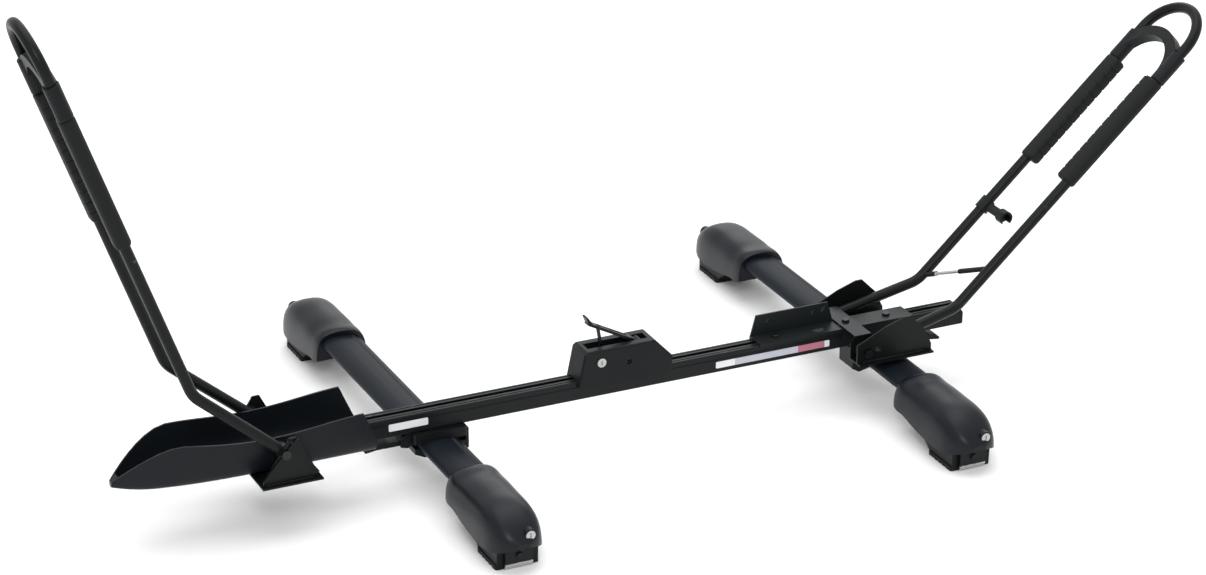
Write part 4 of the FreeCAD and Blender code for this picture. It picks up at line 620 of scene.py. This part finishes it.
# %% [markdown]
# ## Weld beads
#
# The pivot brackets' cheeks are welded to their floors, and a hand weld is a row of
# overlapping ripples. One small ball is instanced along a line, a little over
# half its own width apart, so that the ripples run into one another.

# %% The bead tree
BEAD_RADIUS = 0.0021
BEAD_STEP = 0.0026
BEAD_SIZES = (0.85, 1.10)    # each ripple's share of the full size, at random


def bead_tree(material):
    sizes = {"Length": 0.1, "Radius": BEAD_RADIUS, "Step": BEAD_STEP}
    tree, given = new_tree("weld_bead", sizes)
    value = {name: Value(tree, given.outputs[name]) for name in sizes}
    count = value["Length"] / value["Step"]
    step = make_node(tree, "ShaderNodeCombineXYZ", {}, {0: value["Step"]})
    row = make_node(tree, "GeometryNodeMeshLine", {}, {"Count": count, "Offset": step})
    ball = make_node(tree, "GeometryNodeMeshIcoSphere", {},
                     {"Radius": value["Radius"], "Subdivisions": 2})
    size = make_node(tree, "FunctionNodeRandomValue", {"data_type": "FLOAT"},
                     {2: BEAD_SIZES[0], 3: BEAD_SIZES[1], "Seed": 7}, 1)
    beads = make_node(tree, "GeometryNodeInstanceOnPoints", {},
                      {"Points": row, "Instance": ball, "Scale": size})
    real = make_node(tree, "GeometryNodeRealizeInstances", {}, {0: beads})
    smooth = make_node(tree, "GeometryNodeSetShadeSmooth", {}, {0: real})
    finish_tree(tree, smooth, material)
    return tree


beads = bead_tree(steel_black)


def weld(name, start, length, body):
    piece = grow(name, beads, {"Length": length}, Matrix.Translation(Vector(start)))
    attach(piece, body)
    return piece


# %% Beads along the foot of each cheek
PLATE = 0.003
FLANGE_OUT = 0.010
WELD_INSET = 0.012
for node, body in (("front_pivot_bracket", "rack"), ("rear_pivot_bracket", "carriage_body")):
    low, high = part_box(node)
    for side, edge in (("left", low[1] + FLANGE_OUT), ("right", high[1] - FLANGE_OUT)):
        start = (low[0] + WELD_INSET, edge, low[2] + PLATE)
        name = node.replace("pivot_bracket", "weld_" + side)
        bead = weld(name, start, high[0] - low[0] - 2 * WELD_INSET, body)
        print(bead.name, len(bead.data.polygons), "faces")

# %% [markdown]
# ## Collars behind the wall's holes
#
# A strap is threaded through the carriage wall's two holes, so each hole has a smooth collar
# behind it that keeps the strap off the cut edge. A collar is a ring profile turned round
# the hole's axis; a curve with a bevel would do as well, but a tree makes both at once.

# %% The collar tree
COLLAR_LENGTH = 0.014
COLLAR_WALL = 0.0022
HOLE_PLACES = (0.035, 0.123)     # from the carriage's front
HOLE_DROP = 0.015                # below the wall's top
HOLE_RADIUS = 0.005


def collar_tree(material):
    sizes = {"Pitch": HOLE_PLACES[1] - HOLE_PLACES[0], "Radius": HOLE_RADIUS, "Wall": COLLAR_WALL,
             "Length": COLLAR_LENGTH}
    tree, given = new_tree("hole_collar", sizes)
    value = {name: Value(tree, given.outputs[name]) for name in sizes}
    middle = value["Radius"] + value["Wall"] * 0.5
    ring = make_node(tree, "GeometryNodeCurvePrimitiveCircle", {},
                     {"Resolution": 40, "Radius": middle})
    profile = make_node(tree, "GeometryNodeCurvePrimitiveQuadrilateral", {},
                        {"Width": value["Wall"], "Height": value["Length"]})
    round_off = make_node(tree, "GeometryNodeFilletCurve", {"mode": "POLY"},
                          {"Curve": profile, "Count": 3, "Radius": value["Wall"] * 0.35})
    collar = make_node(tree, "GeometryNodeCurveToMesh", {},
                       {"Curve": ring, "Profile Curve": round_off})
    lying = make_node(tree, "GeometryNodeTransform", {},
                      {0: collar, "Rotation": (math.pi / 2, 0.0, 0.0)})
    step = make_node(tree, "ShaderNodeCombineXYZ", {}, {0: value["Pitch"]})
    row = make_node(tree, "GeometryNodeMeshLine", {}, {"Count": 2, "Offset": step})
    pair = make_node(tree, "GeometryNodeInstanceOnPoints", {}, {"Points": row, "Instance": lying})
    finish_tree(tree, pair, material)
    return tree


low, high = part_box("carriage")
place = Vector((low[0] + HOLE_PLACES[0], high[1] + COLLAR_LENGTH / 2, high[2] - HOLE_DROP))
collars = grow("strap_collars", collar_tree(body_black), {"Length": COLLAR_LENGTH},
               Matrix.Translation(place))
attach(collars, "carriage_body")
print("collars", len(collars.data.polygons), "faces")

# %% [markdown]
# ## Ridges on the cam handles
#
# The ends of the two cam handles are ribbed for the fingers. The ribs are one low rounded
# bar repeated at an even pitch, so they come from a tree too.

# %% The ridge tree
RIDGE_HALF_WIDTH = 0.0095
RIDGE_RADIUS = 0.0009
RIDGE_PITCH = 0.0038
RIDGE_COUNT = 7


def ridge_tree(material):
    sizes = {"Count": RIDGE_COUNT, "Pitch": RIDGE_PITCH, "Half Width": RIDGE_HALF_WIDTH,
             "Radius": RIDGE_RADIUS}
    tree, given = new_tree("grip_ridges", sizes)
    value = {name: Value(tree, given.outputs[name]) for name in sizes}
    step = make_node(tree, "ShaderNodeCombineXYZ", {}, {0: value["Pitch"]})
    row = make_node(tree, "GeometryNodeMeshLine", {}, {"Count": value["Count"], "Offset": step})
    bar = make_node(tree, "GeometryNodeMeshCylinder", {"fill_type": "NGON"},
                    {"Vertices": 16, "Side Segments": 1, "Radius": value["Radius"],
                     "Depth": value["Half Width"] * 2.0})
    lying = make_node(tree, "GeometryNodeTransform", {},
                      {0: bar, "Rotation": (math.pi / 2, 0.0, 0.0)})
    ridges = make_node(tree, "GeometryNodeInstanceOnPoints", {}, {"Points": row, "Instance": lying})
    finish_tree(tree, ridges, material)
    return tree


ridges = ridge_tree(body_black)

# %% Ridges on both handles
HANDLE_TOP_INSET = 0.020     # from the handle's tip to its first ridge
HANDLE_TOP_RISE = 0.0045     # the handle's upper face above its pivot
for end, side in (("front", -1), ("rear", 1)):
    node = end + "_clamp_handle"
    low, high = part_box(node)
    tip = low[0] if side < 0 else high[0]
    pivot = joints[end + "_handle_swing"]["pos_m"]
    top = pivot[2] + HANDLE_TOP_RISE
    first = tip - side * HANDLE_TOP_INSET
    turn = Matrix.Rotation(math.pi if side > 0 else 0.0, 4, "Z")
    piece = grow(end + "_grip_ridges", ridges, {"Count": RIDGE_COUNT},
                 Matrix.Translation(Vector((first, pivot[1], top))) @ turn)
    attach(piece, end + "_handle_body")
    print(piece.name, len(piece.data.polygons), "faces")

# %% [markdown]
# ## A plain sticker on the rail
#
# The rail's near wall has a printed strip and a small badge. Here both are plain, with fields
# of colour and no lettering: thin vinyl with rounded corners, a fraction of a millimetre proud.

# %% Sticker meshes
STICKER_THICKNESS = 0.0003
STICKER_CORNER = 0.002
PRINT_EDGE = 0.001           # how sharply one printed field meets the next


def sticker(name, x0, x1, y, z0, z1, material, body):
    """A rounded rectangle that stands on a wall facing -Y."""
    points = []
    for cx, cz, start in ((x1, z1, 0), (x0, z1, 90), (x0, z0, 180), (x1, z0, 270)):
        ax = cx - STICKER_CORNER if cx == x1 else cx + STICKER_CORNER
        az = cz - STICKER_CORNER if cz == z1 else cz + STICKER_CORNER
        for step in range(7):
            angle = math.radians(start + 15 * step)
            points.append((ax + STICKER_CORNER * math.cos(angle),
                           az + STICKER_CORNER * math.sin(angle)))
    mesh = bpy.data.meshes.new(name)
    build = bmesh.new()
    front = [build.verts.new((px, y - STICKER_THICKNESS, pz)) for px, pz in points]
    back = [build.verts.new((px, y, pz)) for px, pz in points]
    build.faces.new(front)
    build.faces.new(list(reversed(back)))
    for i in range(len(points)):
        j = (i + 1) % len(points)
        build.faces.new((front[j], front[i], back[i], back[j]))
    bmesh.ops.recalc_face_normals(build, faces=build.faces)
    build.to_mesh(mesh)
    build.free()
    mesh.materials.append(material)
    piece = bpy.data.objects.new(name, mesh)
    bpy.context.scene.collection.objects.link(piece)
    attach(piece, body)
    return piece


def printed_vinyl(name, grey_from, red_from, red_to):
    """White vinyl; a grey field runs from grey_from to red_from and a faded red one to red_to."""
    finish = Finish(name, 0.35)
    grime = finish.noise(55.0, 4.0)
    along = finish.along("X")
    grey = along.band(grey_from, red_from, PRINT_EDGE)
    red = along.band(red_from, red_to, PRINT_EDGE)
    paper = finish.blend(grime, rgb(0.60, 0.61, 0.63), rgb(0.80, 0.80, 0.81))
    field = finish.blend(grey * 0.85, paper, rgb(0.42, 0.43, 0.50))
    finish.set("Base Color", finish.blend(red, field, rgb(0.42, 0.16, 0.21)))
    finish.set("Roughness", 0.30 + grime * 0.18)
    finish.bump(grime, 0.05, 0.0003)
    return finish.material


# %% Where the stickers go
STRIP_LENGTH = 0.220
STRIP_AHEAD = 0.084          # of the carriage
STRIP_HEIGHTS = (0.008, 0.020)   # above the rail's foot
GREY_START = 0.036           # from the strip's front end
RED_START = 0.062            # from its rear end
RED_STOP = 0.010             # from its rear end
BADGE_GAP = 0.034            # between the cradle and the badge
BADGE_LENGTH = 0.070
BADGE_HEIGHTS = (0.011, 0.024)   # above the rail's foot
PLAIN = (1.0, 2.0, 3.0)      # fields past the rail's end, so the badge has none

# %% Place the stickers
rail_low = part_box("rail")[0]
near_wall = rail_low[1]
carriage_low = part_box("carriage")[0]
strip_start = carriage_low[0] - STRIP_AHEAD
strip_end = strip_start + STRIP_LENGTH
strip_colours = printed_vinyl("strip_vinyl", strip_start + GREY_START, strip_end - RED_START,
                              strip_end - RED_STOP)
sticker("rail_strip", strip_start, strip_end, near_wall, rail_low[2] + STRIP_HEIGHTS[0],
        rail_low[2] + STRIP_HEIGHTS[1], strip_colours, "rack")
cradle_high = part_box("nose_cradle")[1]
badge_start = cradle_high[0] + BADGE_GAP
sticker("rail_badge", badge_start, badge_start + BADGE_LENGTH, near_wall,
        rail_low[2] + BADGE_HEIGHTS[0], rail_low[2] + BADGE_HEIGHTS[1],
        printed_vinyl("badge_vinyl", *PLAIN), "rack")
print("strip", round(strip_end - strip_start, 3), "m long")

# %% [markdown]
# ## The floor
#
# A plain pale sheet, wide enough that its edge is never seen. The carrier's four rubber pads
# stand on it as they would on a roof.

# %% Floor
FLOOR_HALF = 30.0
floor_mesh = bpy.data.meshes.new("studio_floor")
corners = [(x * FLOOR_HALF, y * FLOOR_HALF, 0.0) for x, y in ((-1, -1), (1, -1), (1, 1), (-1, 1))]
floor_mesh.from_pydata(corners, [], [(0, 1, 2, 3)])
floor_finish = Finish("floor_paper", 0.9)
floor_finish.set("Base Color", rgb(0.93, 0.93, 0.93))
floor_mesh.materials.append(floor_finish.material)
floor = bpy.data.objects.new("studio_floor", floor_mesh)
bpy.context.scene.collection.objects.link(floor)
print("floor", 2 * FLOOR_HALF, "m wide")
